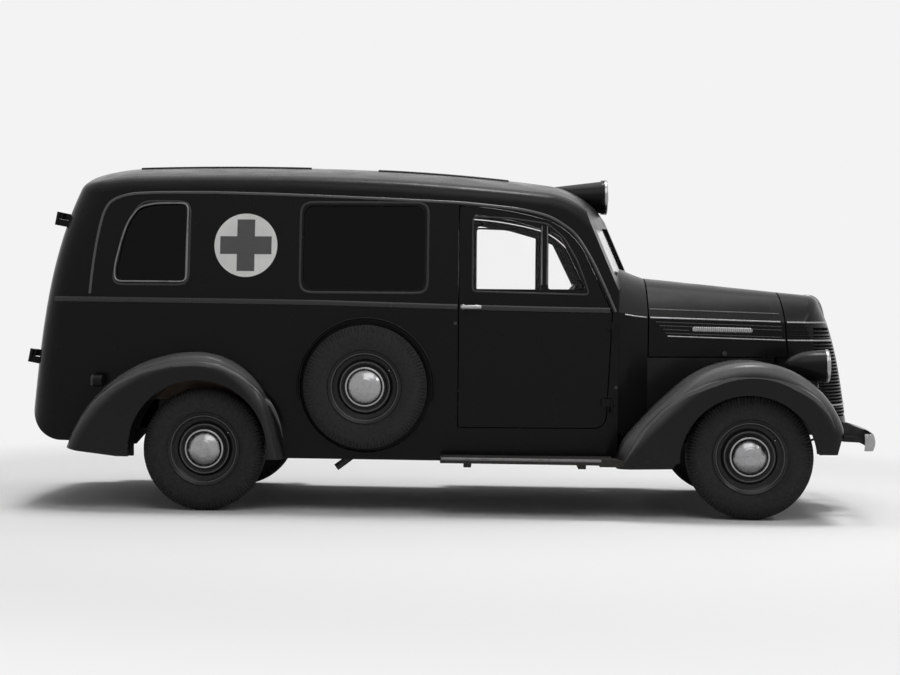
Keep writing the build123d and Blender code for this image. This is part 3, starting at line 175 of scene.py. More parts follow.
class Recipe(Tree):
    """A material under construction: its principled shader and the nodes that feed it."""

    def __init__(self, name: str) -> None:
        """Start a material.

        Args:
            name: Name of the material.
        """
        self.material = bpy.data.materials.new(name)
        self.material.use_nodes = True
        super().__init__(self.material.node_tree)
        self.shader = self.tree.nodes["Principled BSDF"]
        self.coords = self.node("TexCoord")

    def constants(self, **values: float | Sequence[float]) -> None:
        """Set sockets of the shader that are the same all over the surface.

        Args:
            values: Socket names, with underscores for spaces, and their values.
        """
        self.fed(self.shader, {name.replace("_", " "): value for name, value in values.items()})

    def place(self, stretch: Sequence[float] = (1, 1, 1)) -> Socket:
        """Object coordinates, stretched along each axis."""
        return self.fed(self.node("Mapping"), {"Scale": stretch, "Vector": self.coords.outputs["Object"]}).outputs[0]

    def noise(self, scale: float, detail: float = 3.0, stretch: Sequence[float] = (1, 1, 1)) -> Socket:
        """Soft random field.

        Args:
            scale: How fine it is, per metre.
            detail: Number of octaves.
            stretch: Stretch along each axis.

        Returns:
            The factor output, round one half.
        """
        inputs = {"Scale": scale, "Detail": detail, "Vector": self.place(stretch)}
        return self.fed(self.node("TexNoise"), inputs).outputs["Fac"]

    def cells(self, scale: float) -> Socket:
        """Distance to the nearest of many scattered points, so many per metre, as grain or pitting."""
        return self.fed(self.node("TexVoronoi"), {"Scale": scale, "Vector": self.place()}).outputs["Distance"]

    def waves(self, scale: float, along: str) -> Socket:
        """Parallel ribs.

        Args:
            scale: How many ribs there are, per third of a metre.
            along: Axis across the ribs, X, Y or Z.

        Returns:
            The factor output.
        """
        node = self.node("TexWave")
        node.bands_direction = along
        return self.fed(node, {"Scale": scale, "Vector": self.place()}).outputs["Fac"]

    def spread(self, source: Socket, low: float, high: float, start: float = 0.3, end: float = 0.7,
               easing: str = "LINEAR") -> Socket:
        """A field stretched to another range.

        Args:
            source: The field.
            low: Value where the field is at start.
            high: Value where it is at end.
            start: Lower end of the field's own range.
            end: Upper end of the field's own range.
            easing: Kind of rise between the two.

        Returns:
            The result output.
        """
        node = self.node("MapRange")
        node.interpolation_type = easing
        inputs = {"From Min": start, "From Max": end, "To Min": low, "To Max": high, "Value": source}
        return self.fed(node, inputs).outputs["Result"]

    def part(self, vector: Socket, axis: Axis) -> Socket:
        """One coordinate of a vector."""
        return self.fed(self.node("SeparateXYZ"), {0: vector}).outputs[axis.value]

    def along(self, axis: Axis, start: float, end: float, low: float = 0.0, high: float = 1.0) -> Socket:
        """A field that goes from low to high between two places along an axis."""
        return self.spread(self.part(self.coords.outputs["Object"], axis), low, high, start, end)

    def facing_up(self, start: float, end: float) -> Socket:
        """Nought on walls, rising to one where the normal's upward share goes from start to end."""
        normal = self.node("NewGeometry").outputs["Normal"]
        return self.spread(self.part(normal, Axis.Z), 0.0, 1.0, start, end, "SMOOTHSTEP")

    def blend(self, share: Socket, first: Colour | Socket, second: Colour | Socket) -> Socket:
        """Two colours mixed by a field.

        Args:
            share: Nought for the first colour, one for the second.
            first: First colour, linear red, green and blue, or an output that gives it.
            second: Second colour.

        Returns:
            The colour output.
        """
        node = self.node("Mix")
        node.data_type = "RGBA"
        first, second = (part if isinstance(part, Socket) else (*part, 1.0) for part in (first, second))
        return self.fed(node, {"Factor": share, 6: first, 7: second}).outputs[2]

    def relief(self, field: Socket, depth: float, strength: float = 1.0, under: Socket | None = None) -> Socket:
        """Bump from a field.

        Args:
            field: Height field from nought to one.
            depth: Height of one, in metres.
            strength: Share of the effect.
            under: Normal output of another relief that this one lies on.

        Returns:
            The normal output.
        """
        inputs = {"Strength": strength, "Distance": depth, "Height": field}
        if under is not None:
            inputs["Normal"] = under
        return self.fed(self.node("Bump"), inputs).outputs["Normal"]

    def wear(self, colour: Socket, roughness: Socket, normal: Socket) -> Finish:
        """Join the three fields to the shader and close the recipe."""
        self.fed(self.shader, {"Base Color": colour, "Roughness": roughness, "Normal": normal})
        return self.material


@dataclass(frozen=True)
class Enamel:
    """Sprayed enamel: faint orange peel, cloudy gloss, road dust that thins out upwards, and dust and painted top
    light on top.
    """

    name: str
    colour: Colour
    # dust: colour of the road dust, and on upward faces also the colour of the painted top light.
    dust: Colour = (0.07, 0.069, 0.067)
    gloss: tuple[float, float] = (0.16, 0.30)
    dust_from: float = 0.25
    dust_top: float = 0.75
    dust_amount: float = 0.3
    # settled: share of the dust colour on upward faces, partly settled dust and partly painted top light.
    settled: float = 0.25
    reflection: float = 0.09

    def material(self) -> Finish:
        """Build the material.

        Returns:
            The material.
        """
        recipe = Recipe(self.name)
        cloud = recipe.noise(2.3, 5.0)
        low = recipe.joined("MULTIPLY", recipe.along(Axis.Z, self.dust_from, self.dust_top, 1.0, 0.0),
                            recipe.spread(cloud, 0.0, 1.0))
        specks = recipe.spread(recipe.noise(31.0, 6.0), 0.3 * self.dust_amount, self.dust_amount)
        # Upward faces blend towards the dust colour: partly settled dust, partly painted top light that lightens
        # crowns and tops.
        settled = recipe.spread(cloud, 0.75 * self.settled, self.settled)
        top = recipe.joined("MULTIPLY", recipe.facing_up(0.02, 0.6), settled)
        share = recipe.joined("MAXIMUM", recipe.joined("MULTIPLY", low, specks), top)
        recipe.constants(Specular_IOR_Level=self.reflection)
        peel = recipe.relief(recipe.noise(420.0, 2.0), 0.00012, 0.25)
        dents = recipe.relief(recipe.noise(2.2, 1.0), 0.003, 0.12, peel)
        return recipe.wear(
            recipe.blend(share, self.colour, self.dust),
            recipe.spread(recipe.noise(7.0, 4.0), *self.gloss),
            dents,
        )


@dataclass(frozen=True)
class Iron:
    """Cast or forged iron and chassis steel: sanded skin under thin black paint, dusty in patches."""

    name: str
    colour: Colour
    worn: Colour = (0.09, 0.085, 0.08)
    grain: float = 160.0
    depth: float = 0.0006

    def material(self) -> Finish:
        """Build the material.

        Returns:
            The material.
        """
        recipe = Recipe(self.name)
        recipe.constants(Metallic=0.2)
        patches = recipe.noise(14.0, 6.0)
        return recipe.wear(
            recipe.blend(recipe.spread(patches, 0.0, 1.0, 0.45, 0.75), self.colour, self.worn),
            recipe.spread(recipe.noise(40.0, 3.0), 0.5, 0.8),
            recipe.relief(recipe.noise(self.grain, 4.0), self.depth, 0.6),
        )


@dataclass(frozen=True)
class Rubber:
    """Black rubber: dull, faintly grained, greyed by dust."""

    name: str
    colour: Colour = (0.014, 0.014, 0.014)
    dusty: Colour = (0.040, 0.040, 0.039)
    grain: float = 900.0
    share: float = 0.55

    def material(self) -> Finish:
        """Build the material.

        Returns:
            The material.
        """
        recipe = Recipe(self.name)
        recipe.constants(Specular_IOR_Level=0.15)
        dust = recipe.spread(recipe.noise(70.0, 6.0), 0.15, self.share)
        return recipe.wear(
            recipe.blend(dust, self.colour, self.dusty),
            recipe.spread(recipe.noise(60.0, 3.0), 0.55, 0.85),
            recipe.relief(recipe.noise(self.grain, 2.0), 0.0002, 0.5),
        )


@dataclass(frozen=True)
class Plating:
    """Bright plated metal: almost a mirror, with faint pitting and a haze in patches."""

    name: str
    colour: Colour = (0.31, 0.31, 0.315)
    haze: tuple[float, float] = (0.14, 0.3)
    dull: Colour = (0.22, 0.22, 0.22)

    def material(self) -> Finish:
        """Build the material.

        Returns:
            The material.
        """
        recipe = Recipe(self.name)
        recipe.constants(Metallic=1.0)
        return recipe.wear(
            recipe.blend(recipe.spread(recipe.noise(26.0, 5.0), 0.0, 0.8, 0.5, 0.8), self.colour, self.dull),
            recipe.spread(recipe.noise(55.0, 4.0), *self.haze),
            recipe.relief(recipe.cells(700.0), 0.00015, 0.12),
        )


@dataclass(frozen=True)
class Glazing:
    """Flat or fluted glass with a thin film of dust, blacked out behind one place where one is given."""

    name: str
    tint: Colour = (0.97, 0.975, 0.97)
    blackout: Colour = (0.004, 0.004, 0.004)
    blackout_ahead_to: float | None = None
    flutes: float = 0.0
    index: float = 1.46
    smoothness: tuple[float, float] = (0.01, 0.06)

    def material(self) -> Finish:
        """Build the material.

        Returns:
            The material.
        """
        recipe = Recipe(self.name)
        recipe.constants(Transmission_Weight=1.0, IOR=self.index)
        film = recipe.spread(recipe.noise(5.0, 4.0), *self.smoothness)
        if self.flutes:
            normal = recipe.relief(recipe.waves(self.flutes, "Y"), 0.004, 0.8)
        else:
            normal = recipe.relief(recipe.noise(3.0, 1.0), 0.0004, 0.15)
        if self.blackout_ahead_to is None:
            shade = recipe.blend(recipe.noise(2.0, 2.0), self.tint, tuple(0.96 * part for part in self.tint))
        else:
            ahead = recipe.along(Axis.X, self.blackout_ahead_to - 0.01, self.blackout_ahead_to + 0.01)
            shade = recipe.blend(ahead, self.blackout, self.tint)
        return recipe.wear(shade, film, normal)


@dataclass(frozen=True)
class Leathercloth:
    """Coated cloth of the seats: fine pebble grain and rubbed patches."""

    name: str
    colour: Colour = (0.035, 0.026, 0.02)
    rubbed: Colour = (0.09, 0.065, 0.045)

    def material(self) -> Finish:
        """Build the material.

        Returns:
            The material.
        """
        recipe = Recipe(self.name)
        grain = recipe.relief(recipe.cells(420.0), 0.0006, 0.6)
        creases = recipe.relief(recipe.noise(22.0, 5.0), 0.003, 0.35, grain)
        return recipe.wear(
            recipe.blend(recipe.spread(recipe.noise(9.0, 4.0), 0.0, 0.7, 0.45, 0.8), self.colour, self.rubbed),
            recipe.spread(recipe.noise(80.0, 3.0), 0.38, 0.6),
            creases,
        )


@dataclass(frozen=True)
class Planks:
    """Oiled floor boards laid lengthwise, black underneath."""

    name: str
    colour: Colour = (0.12, 0.08, 0.05)
    dark: Colour = (0.035, 0.024, 0.016)
    underside: Colour = (0.006, 0.006, 0.006)
    underside_top: float = 0.645

    def material(self) -> Finish:
        """Build the material.

        Returns:
            The material.
        """
        recipe = Recipe(self.name)
        grain = recipe.noise(26.0, 6.0, (0.15, 3.0, 1.0))
        boards = recipe.blend(recipe.spread(grain, 0.0, 1.0), self.colour, self.dark)
        above = recipe.along(Axis.Z, self.underside_top - 0.002, self.underside_top)
        return recipe.wear(
            recipe.blend(above, self.underside, boards),
            recipe.spread(recipe.noise(12.0, 3.0), 0.5, 0.75),
            recipe.relief(recipe.waves(2.6, "Y"), 0.001, 0.5),
        )


@dataclass(frozen=True)
class MarkingPaint:
    """Brushed marking paint: chalky, slightly streaked, dulled by dust."""

    name: str
    colour: Colour
    soiled: Colour

    def material(self) -> Finish:
        """Build the material.

        Returns:
            The material.
        """
        recipe = Recipe(self.name)
        streaks = recipe.noise(60.0, 4.0, (0.2, 1.0, 1.6))
        return recipe.wear(
            recipe.blend(recipe.spread(recipe.noise(11.0, 5.0), 0.0, 0.6), self.colour, self.soiled),
            recipe.spread(streaks, 0.45, 0.66),
            recipe.relief(streaks, 0.0002, 0.5),
        )


class Finishes:
    """Every finish of the truck, made once."""

    def __init__(self) -> None:
        """Build the materials."""
        self.paint = Enamel("body enamel", (0.0065, 0.0065, 0.0068), dust_amount=0.06).material()
        # The mouldings' enamel is a lighter copy of the body enamel: a painted highlight.
        self.moulding_highlight_paint = Enamel("moulding highlight enamel", (0.022, 0.022, 0.0225), dust_amount=0.1,
                                     reflection=0.3).material()
        # The fenders' pale dust colour, laid in full on upward faces, is mostly painted top light on their crowns.
        self.fender_paint_top_light = Enamel("fender enamel", (0.009, 0.009, 0.0093), (0.12, 0.119, 0.117), dust_amount=0.08,
                                   settled=1.0, reflection=0.14).material()
        self.wheel_paint = Enamel("wheel enamel", (0.008, 0.008, 0.0085), dust_amount=0.4, dust_top=0.8,
                                  reflection=0.2).material()
        # A still lighter copy of the enamel: a painted highlight on the wheel rings, drip rails, hood crease and
        # louvre lines, and fender ridges.
        self.highlight_paint = Enamel("painted highlight enamel", (0.04, 0.04, 0.041), dust_amount=0.3, reflection=0.6).material()
        self.chassis = Iron("chassis black", (0.012, 0.012, 0.012), (0.04, 0.038, 0.035), 220.0, 0.0003).material()
        self.casting = Iron("painted castings", (0.02, 0.02, 0.02)).material()
        self.tyre = Rubber("tyre rubber").material()
        self.board = Rubber("board rubber", (0.014, 0.014, 0.014), (0.06, 0.057, 0.052), 500.0, 0.7).material()
        self.bright = Plating("bright plating").material()
        self.reflector = Plating("lamp reflector", (0.8, 0.8, 0.8), (0.08, 0.16), (0.6, 0.6, 0.6)).material()
        self.trim = Plating("trim strip", (0.16, 0.16, 0.16), (0.25, 0.45), (0.07, 0.07, 0.07)).material()
        self.glass = Glazing("window glass", (0.995, 0.995, 0.995), blackout_ahead_to=0.0, index=1.2).material()
        self.lens = Glazing("fluted lens", (0.9, 0.91, 0.9), flutes=14.0).material()
        self.tail_lens = Glazing("red lens", (0.5, 0.02, 0.015), flutes=30.0).material()
        self.seat = Leathercloth("seat leathercloth").material()
        self.floor = Planks("floor planks").material()
        self.disc = MarkingPaint("marking ground", (0.78, 0.78, 0.77), (0.64, 0.64, 0.62)).material()
        self.cross = MarkingPaint("marking cross", (0.07, 0.068, 0.068), (0.055, 0.054, 0.053)).material()


# Surfaces


def grid_faces(rows: int, columns: int, close_rows: bool, close_columns: bool) -> np.ndarray:
    """Corner numbers of the quads of a grid of points, row by row.

    Args:
        rows: Number of rows of points.
        columns: Number of points in a row.
        close_rows: Whether the last row joins the first.
        close_columns: Whether each row closes on itself.

    Returns:
        An array of quads, four numbers each.
    """
    row = np.arange(rows if close_rows else rows - 1)
    column = np.arange(columns if close_columns else columns - 1)
    r, c = np.meshgrid(row, column, indexing="ij")
    r_next = (r + 1) % rows
    c_next = (c + 1) % columns
    quads = np.stack([r * columns + c, r_next * columns + c, r_next * columns + c_next, r * columns + c_next], -1)
    return quads.reshape(-1, 4)


def placed(name: str, data: bpy.types.ID) -> Piece:
    """A new object of the scene with its data.

    Args:
        name: Name of the object.
        data: Mesh, light or camera.

    Returns:
        The object.
    """
    piece = bpy.data.objects.new(name, data)
    bpy.context.scene.collection.objects.link(piece)
    return piece


def corner_points(mesh: bpy.types.Mesh) -> np.ndarray:
    """Corner points of a mesh.

    Args:
        mesh: The mesh.

    Returns:
        Points, one row each.
    """
    flat = np.zeros(len(mesh.vertices) * 3)
    mesh.vertices.foreach_get("co", flat)
    return flat.reshape(-1, 3)


def mesh_piece(name: str, points: np.ndarray, faces: list[tuple[int, ...]], finish: Finish,
               body: str, smooth_angle: float = 35.0) -> Piece:
    """A finished piece from points and faces, riding on its body.

    Args:
        name: Name of the piece.
        points: Corner points, one row each.
        faces: Corner numbers of each face.
        finish: Material.
        body: Body that it rides on.
        smooth_angle: Edges flatter than this many degrees are shaded smooth.

    Returns:
        The new object.
    """
    mesh = bpy.data.meshes.new(name)
    mesh.from_pydata(points.tolist(), [], faces)
    mesh.validate()
    mesh.materials.append(finish)
    piece = placed(name, mesh)
    face_outwards(mesh)
    mesh.shade_smooth()
    mesh.set_sharp_from_angle(angle=math.radians(smooth_angle))
    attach(piece, body)
    return piece


def face_outwards(mesh: bpy.types.Mesh) -> None:
    """Merge doubled points and turn every face of a mesh outwards.

    Args:
        mesh: The mesh.
    """
    work = bmesh.new()
    work.from_mesh(mesh)
    bmesh.ops.remove_doubles(work, verts=work.verts, dist=1e-6)
    bmesh.ops.recalc_face_normals(work, faces=work.faces)
    work.to_mesh(mesh)
    work.free()


class Soup:
    """Points and faces of one piece gathered from several surfaces."""

    def __init__(self) -> None:
        """Start empty."""
        self.points: list[np.ndarray] = []
        self.faces: list[tuple[int, ...]] = []
        self.count = 0

    def add(self, points: np.ndarray, faces: np.ndarray | list[Sequence[int]]) -> None:
        """Take in a surface.

        Args:
            points: Its points, one row each.
            faces: Corner numbers of its faces, from nought.
        """
        flat = points.reshape(-1, 3)
        self.faces.extend(tuple(int(corner) + self.count for corner in face) for face in faces)
        self.points.append(flat)
        self.count += len(flat)

    def grid(self, points: np.ndarray, close_rows: bool = False, close_columns: bool = False,
             cap_ends: bool = False) -> None:
        """Take in a grid of points.

        Args:
            points: Array of rows by columns by three.
            close_rows: Whether the last row joins the first.
            close_columns: Whether each row closes on itself.
            cap_ends: Whether the first and last rows are closed by a face each.
        """
        rows, columns = points.shape[:2]
        faces = grid_faces(rows, columns, close_rows, close_columns).tolist()
        if cap_ends:
            faces.append(list(range(columns))[::-1])
            faces.append(list(range((rows - 1) * columns, rows * columns)))
        self.add(points, faces)

    def tube(self, points: np.ndarray) -> None:
        """Take in a strip: rows that close on themselves, with a face over each end."""
        self.grid(points, close_columns=True, cap_ends=True)

    def hoop(self, points: np.ndarray) -> None:
        """Take in a grid that closes both ways."""
        self.grid(points, close_rows=True, close_columns=True)

    def lathe(self, centre: Sequence[float], axis: Axis, way: int, profile: np.ndarray, steps: int) -> None:
        """Take in a profile from the axis back to it, turned as turned() says."""
        self.grid(turned(centre, axis, way, profile, steps), close_rows=True)

    def slab(self, outline: Corners, side: int, inner: float, outer: float) -> None:
        """Take in a flat plate on one side of the truck.

        Args:
            outline: Station and height of each corner.
            side: Sign of the side.
            inner: One distance across.
            outer: The other.
        """
        low, high = sorted((side * inner, side * outer))
        self.tube(plate(outline, low, high))

    def piece(self, name: str, finish: Finish, slot: Slot, body: str = ROOT_BODY, smooth_angle: float = 35.0) -> Piece:
        """Close the soup into a piece; the slot is not used, and the other arguments are those of mesh_piece."""
        return mesh_piece(name, np.concatenate(self.points), self.faces, finish, body, smooth_angle)


def unit(vectors: np.ndarray) -> np.ndarray:
    """Vectors brought to length one, row by row."""
    return vectors / np.maximum(np.linalg.norm(vectors, axis=-1, keepdims=True), 1e-12)


def carried_profile(path: np.ndarray, outward: np.ndarray, profile: np.ndarray, closed: bool = False) -> np.ndarray:
    """A flat profile carried along a path that lies on a surface.

    Point (i, j) is path(i) + across(i) * profile(j, 0) + outward(i) * profile(j, 1), where across is square to the
    path and to outward.

    Args:
        path: Points of the path.
        outward: Unit vector away from the surface at each point.
        profile: Points of the profile, across and outward.
        closed: Whether the path closes on itself.

    Returns:
        A grid of points, one row for each point of the path.
    """
    ahead = np.roll(path, -1, 0) - np.roll(path, 1, 0)
    if not closed:
        ahead[0] = path[1] - path[0]
        ahead[-1] = path[-1] - path[-2]
    across = unit(np.cross(unit(ahead), outward))
    return path[:, None] + across[:, None] * profile[None, :, :1] + outward[:, None] * profile[None, :, 1:]


def half_round(width: float, height: float, steps: int = 7, sink: float = 0.002) -> np.ndarray:
    """Profile of a half-round strip, closed below the surface.

    The angle t runs from nought to pi; across is cos t times half the width and outward is sin t times the height.

    Args:
        width: Full width of the strip.
        height: How far it stands proud.
        steps: Points over the arch.
        sink: How far its feet reach into the surface.

    Returns:
        Points across and outward.
    """
    turn = np.linspace(0, math.pi, steps)
    arch = np.stack([np.cos(turn) * width / 2, np.sin(turn) * height], 1)
    feet = np.array([[-width / 2, -sink], [width / 2, -sink]])
    return np.concatenate([arch, feet])


def turned(centre: Sequence[float], axis: Axis, way: int, profile: np.ndarray, steps: int) -> np.ndarray:
    """A profile turned round an axis through a centre.

    Row i is the profile at the angle 2 pi i / steps: radius times the cosine and sine across the axis, and its
    second column along it.

    Args:
        centre: Point on the axis.
        axis: The axis.
        way: Sign of the profile's second column along the axis.
        profile: Radius and distance along the axis of each point.
        steps: Number of rows.

    Returns:
        A grid of points that closes row to row.
    """
    turn = np.linspace(0, 2 * math.pi, steps, endpoint=False)[:, None]
    first, second = [column for column in range(3) if column != axis.value]
    points = np.zeros((steps, len(profile), 3))
    points[..., first] = np.cos(turn) * profile[None, :, 0]
    points[..., second] = np.sin(turn) * profile[None, :, 0]
    points[..., axis.value] = way * profile[None, :, 1]
    return points + np.asarray(centre, float)


def walked(points: np.ndarray) -> np.ndarray:
    """Length walked along a path up to each of its points."""
    return np.concatenate([[0], np.cumsum(np.linalg.norm(np.diff(points, axis=0), axis=1))])


def sampled(steps: np.ndarray, known: np.ndarray, values: np.ndarray) -> np.ndarray:
    """Each column of some values, read off at steps between the known ones."""
    return np.stack([np.interp(steps, known, column) for column in values.T], 1)


def even(points: np.ndarray, others: np.ndarray, count: int) -> tuple[np.ndarray, np.ndarray]:
    """Points of a path spread evenly by length, with a second array carried along.

    Args:
        points: Points of the path.
        others: Values that go with them, row by row.
        count: Number of points returned.

    Returns:
        The new points and values.
    """
    reach = walked(points)
    steps = np.linspace(0, reach[-1], count)
    return sampled(steps, reach, points), sampled(steps, reach, others)


def smooth_path(corners: Sequence[Sequence[float]], rounding: float, count: int, closed: bool = False) -> np.ndarray:
    """A polyline with its corners eased, in equal steps.

    The line is laid out finely by length, then each point becomes the mean of its neighbours over the rounding
    length, twice, which makes a tent-shaped window.

    Args:
        corners: Corner points in the plane.
        rounding: Length over which a corner is eased.
        count: Number of points returned.
        closed: Whether the line closes on itself.

    Returns:
        Points in the plane.
    """
    line = np.asarray(corners, float)
    if closed:
        line = np.concatenate([line, line[:1]])
    reach = walked(line)
    points = sampled(np.linspace(0, reach[-1], FINE_STEPS, endpoint=not closed), reach, line)
    half = max(int(rounding / reach[-1] * FINE_STEPS / 2), 1)
    window = np.ones(2 * half + 1) / (2 * half + 1)
    for _ in range(2):
        padded = np.pad(points, ((half, half), (0, 0)), mode="wrap" if closed else "edge")
        eased = np.stack([np.convolve(column, window, "valid") for column in padded.T], 1)
        if not closed:
            eased[0], eased[-1] = points[0], points[-1]
        points = eased
    return even(points, points, count)[0]


def plate(outline: Corners, y_low: float, y_high: float) -> np.ndarray:
    """A flat plate: its side-view outline laid at two distances across.

    Args:
        outline: Station and height of each corner.
        y_low: Lower distance across.
        y_high: Higher distance across.

    Returns:
        A grid of two rows that closes column to column.
    """
    flat = np.array([(at(x), z) for x, z in outline])
    return np.stack([np.stack([flat[:, 0], np.full(len(flat), y), flat[:, 1]], 1) for y in (y_low, y_high)])


def oblong(rear: float, front: float, low: float, high: float) -> Corners:
    """Corners of a rectangle between two stations and two heights."""
    return ((rear, low), (rear, high), (front, high), (front, low))


class Skin:
    """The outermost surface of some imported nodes, seen along one axis, for trim to lie on."""

    batch = 64
    steepest = 2.5

    def __init__(self, nodes: Sequence[str], axis: Axis, way: int) -> None:
        """Gather the triangles.

        Args:
            nodes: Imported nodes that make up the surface.
            axis: Axis along which it is seen.
            way: Sign of the side it is seen from.
        """
        self.axis = axis
        self.way = way
        self.flat = [column for column in range(3) if column != axis.value]
        corners = []
        for node in nodes:
            mesh = frame["nodes"][node].data
            mesh.calc_loop_triangles()
            numbers = np.zeros(len(mesh.loop_triangles) * 3, int)
            mesh.loop_triangles.foreach_get("vertices", numbers)
            corners.append(corner_points(mesh)[numbers].reshape(-1, 3, 3))
        self.triangles = np.concatenate(corners)

    def height(self, places: np.ndarray) -> np.ndarray:
        """How far out the surface stands over each place.

        Each triangle is tested by its barycentric coordinates in the plane across the axis; of those over a place
        the outermost counts, and where there is none the nearest known neighbour in the list does.

        Args:
            places: Two coordinates each, in the order of the remaining axes.

        Returns:
            The coordinate along the axis.
        """
        a, b, c = (self.triangles[:, k][:, self.flat] for k in range(3))
        out = self.triangles[:, :, self.axis.value]
        area = (b[:, 0] - a[:, 0]) * (c[:, 1] - a[:, 1]) - (b[:, 1] - a[:, 1]) * (c[:, 0] - a[:, 0])
        keep = np.abs(area) > 1e-12
        a, b, c, out, area = a[keep], b[keep], c[keep], out[keep], area[keep]
        found = np.full(len(places), np.nan)
        for start in range(0, len(places), self.batch):
            p = places[start:start + self.batch, None]
            u = ((p[..., 0] - a[:, 0]) * (c[:, 1] - a[:, 1]) - (p[..., 1] - a[:, 1]) * (c[:, 0] - a[:, 0])) / area
            v = ((b[:, 0] - a[:, 0]) * (p[..., 1] - a[:, 1]) - (b[:, 1] - a[:, 1]) * (p[..., 0] - a[:, 0])) / area
            inside = (u >= -1e-6) & (v >= -1e-6) & (u + v <= 1 + 1e-6)
            level = out[:, 0] + u * (out[:, 1] - out[:, 0]) + v * (out[:, 2] - out[:, 0])
            level = np.where(inside, level * self.way, -np.inf)
            best = level.max(1)
            found[start:start + self.batch] = np.where(np.isfinite(best), best * self.way, np.nan)
        known = np.isfinite(found)
        if known.any() and not known.all():
            order = np.arange(len(found))
            found = np.interp(order, order[known], found[known])
        return found

    def lay(self, places: np.ndarray, reach: float = 0.012) -> tuple[np.ndarray, np.ndarray]:
        """Points on the surface and the way out of it.

        The way out is (-dh/da, -dh/db, 1), from the heights a little to each side.

        Args:
            places: Two coordinates each.
            reach: Distance to each side for the slope.

        Returns:
            Points, and unit vectors away from the surface.
        """
        height = self.height(places)
        step_a = np.array([reach, 0.0])
        step_b = np.array([0.0, reach])
        slope_a = (self.height(places + step_a) - self.height(places - step_a)) / (2 * reach)
        slope_b = (self.height(places + step_b) - self.height(places - step_b)) / (2 * reach)
        points = np.zeros((len(places), 3))
        outward = np.zeros((len(places), 3))
        points[:, self.flat] = places
        points[:, self.axis.value] = height
        outward[:, self.flat[0]] = -np.clip(slope_a, -self.steepest, self.steepest) * self.way
        outward[:, self.flat[1]] = -np.clip(slope_b, -self.steepest, self.steepest) * self.way
        outward[:, self.axis.value] = self.way
        return points, unit(outward)

    def spot(self, station: float, height: float) -> np.ndarray:
        """The point of a side's surface at a station and height."""
        return self.lay(np.array([[at(station), height]]))[0][0]

    def strip(self, corners: Corners, width: float, height: float, count: int, rounding: float = 0.01,
              closed: bool = False) -> np.ndarray:
        """A half-round strip along stations and heights of a side.

        Args:
            corners: Station and height of each corner of its line.
            width: Width of the strip.
            height: How far it stands proud.
            count: Points along it.
            rounding: Length over which corners are eased.
            closed: Whether it closes on itself.

        Returns:
            A grid of points.
        """
        points, outward = self.lay(smooth_path([(at(x), z) for x, z in corners], rounding, count, closed))
        if closed:
            points, outward = points[:-1], outward[:-1]
        return carried_profile(points, outward, half_round(width, height), closed)


# Sub-assemblies


@dataclass
class Tyre:
    """A 6.50-16 road tyre with a ribbed centre and toothed shoulders."""

    name: str
    centre: Place
    side: int
    body: str
    width: float = 0.166
    teeth: int = 110
    groove: float = 0.007
    side_cut: float = 0.0045
    side_cut_from: float = 0.317
    bead: float = 0.2036
    shoulder: float = 0.3565
    grooves: tuple[float, ...] = (-0.036, -0.012, 0.012, 0.036)

    def section(self) -> np.ndarray:
        """Section of the carcass, from the inner bead over the tread to the outer bead.

        Returns:
            Radius and distance outward, one row for each point.
        """
        half = self.width / 2
        share = np.array([-0.62, -0.74, -0.9, -0.985, -1.0, -0.985, -0.955, -0.93, -0.9, -0.86, -0.80, -0.70])
        radius = np.array([self.bead, 0.216, 0.236, 0.256, 0.276, 0.296, 0.312, 0.322, 0.334, 0.3445, 0.352,
                           self.shoulder])
        crown = np.linspace(-0.64, 0.64, 37)
        rise = self.shoulder + (TYRE_RADIUS - 0.3568) * (1 - (crown / 0.72) ** 2) ** 0.7
        across = np.concatenate([share, crown, -share[::-1]]) * half
        return np.stack([np.concatenate([radius, rise, radius[::-1]]), across], 1)

    def build(self, finish: Finish) -> Piece:
        """Build the tyre.

        Radius at angle t and distance y is the carcass less the groove depth times the pattern: four grooves that
        waver with the sine of the teeth's angle, and on the shoulders a square wave of the teeth, which is also cut
        inward across the tyre where the shoulder turns down into the sidewall.

        Args:
            finish: Material.

        Returns:
            The piece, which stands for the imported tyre.
        """
        section = self.section()
        steps = self.teeth * 6
        turn = np.linspace(0, 2 * math.pi, steps, endpoint=False)[:, None]
        across = section[None, :, 1]
        radius = np.repeat(section[None, :, 0], steps, 0)
        tooth = (np.mod(turn * self.teeth / (2 * math.pi) + 0.5 * (across > 0), 1.0) < 0.42).astype(float)
        shoulder = ((np.abs(across) > 0.046) & (radius > 0.336)).astype(float)
        flank = ((np.abs(across) > 0.062) & (radius > self.side_cut_from)).astype(float)
        waver = 0.0035 * np.sin(turn * self.teeth / 2)
        ribs = np.zeros_like(radius)
        for line in self.grooves:
            ribs = np.maximum(ribs, (np.abs(across - line - waver) < 0.0026).astype(float))
        radius = radius - self.groove * np.maximum(tooth * shoulder, ribs * (radius > 0.35))
        ring = 0.0012 * ((np.abs(radius - 0.262) < 0.004) | (np.abs(radius - 0.305) < 0.003))
        out = np.sign(across) * np.minimum(np.abs(across) + ring - self.side_cut * tooth * flank, self.width / 2)
        round_axle = np.stack([np.cos(turn) * radius, self.side * out, np.sin(turn) * radius], -1)
        soup = Soup()
        soup.hoop(round_axle + np.asarray(self.centre))
        piece = soup.piece(f"{self.name}_tread", finish, Slot.TYRE, self.body, 40.0)
        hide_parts(self.name)
        return piece


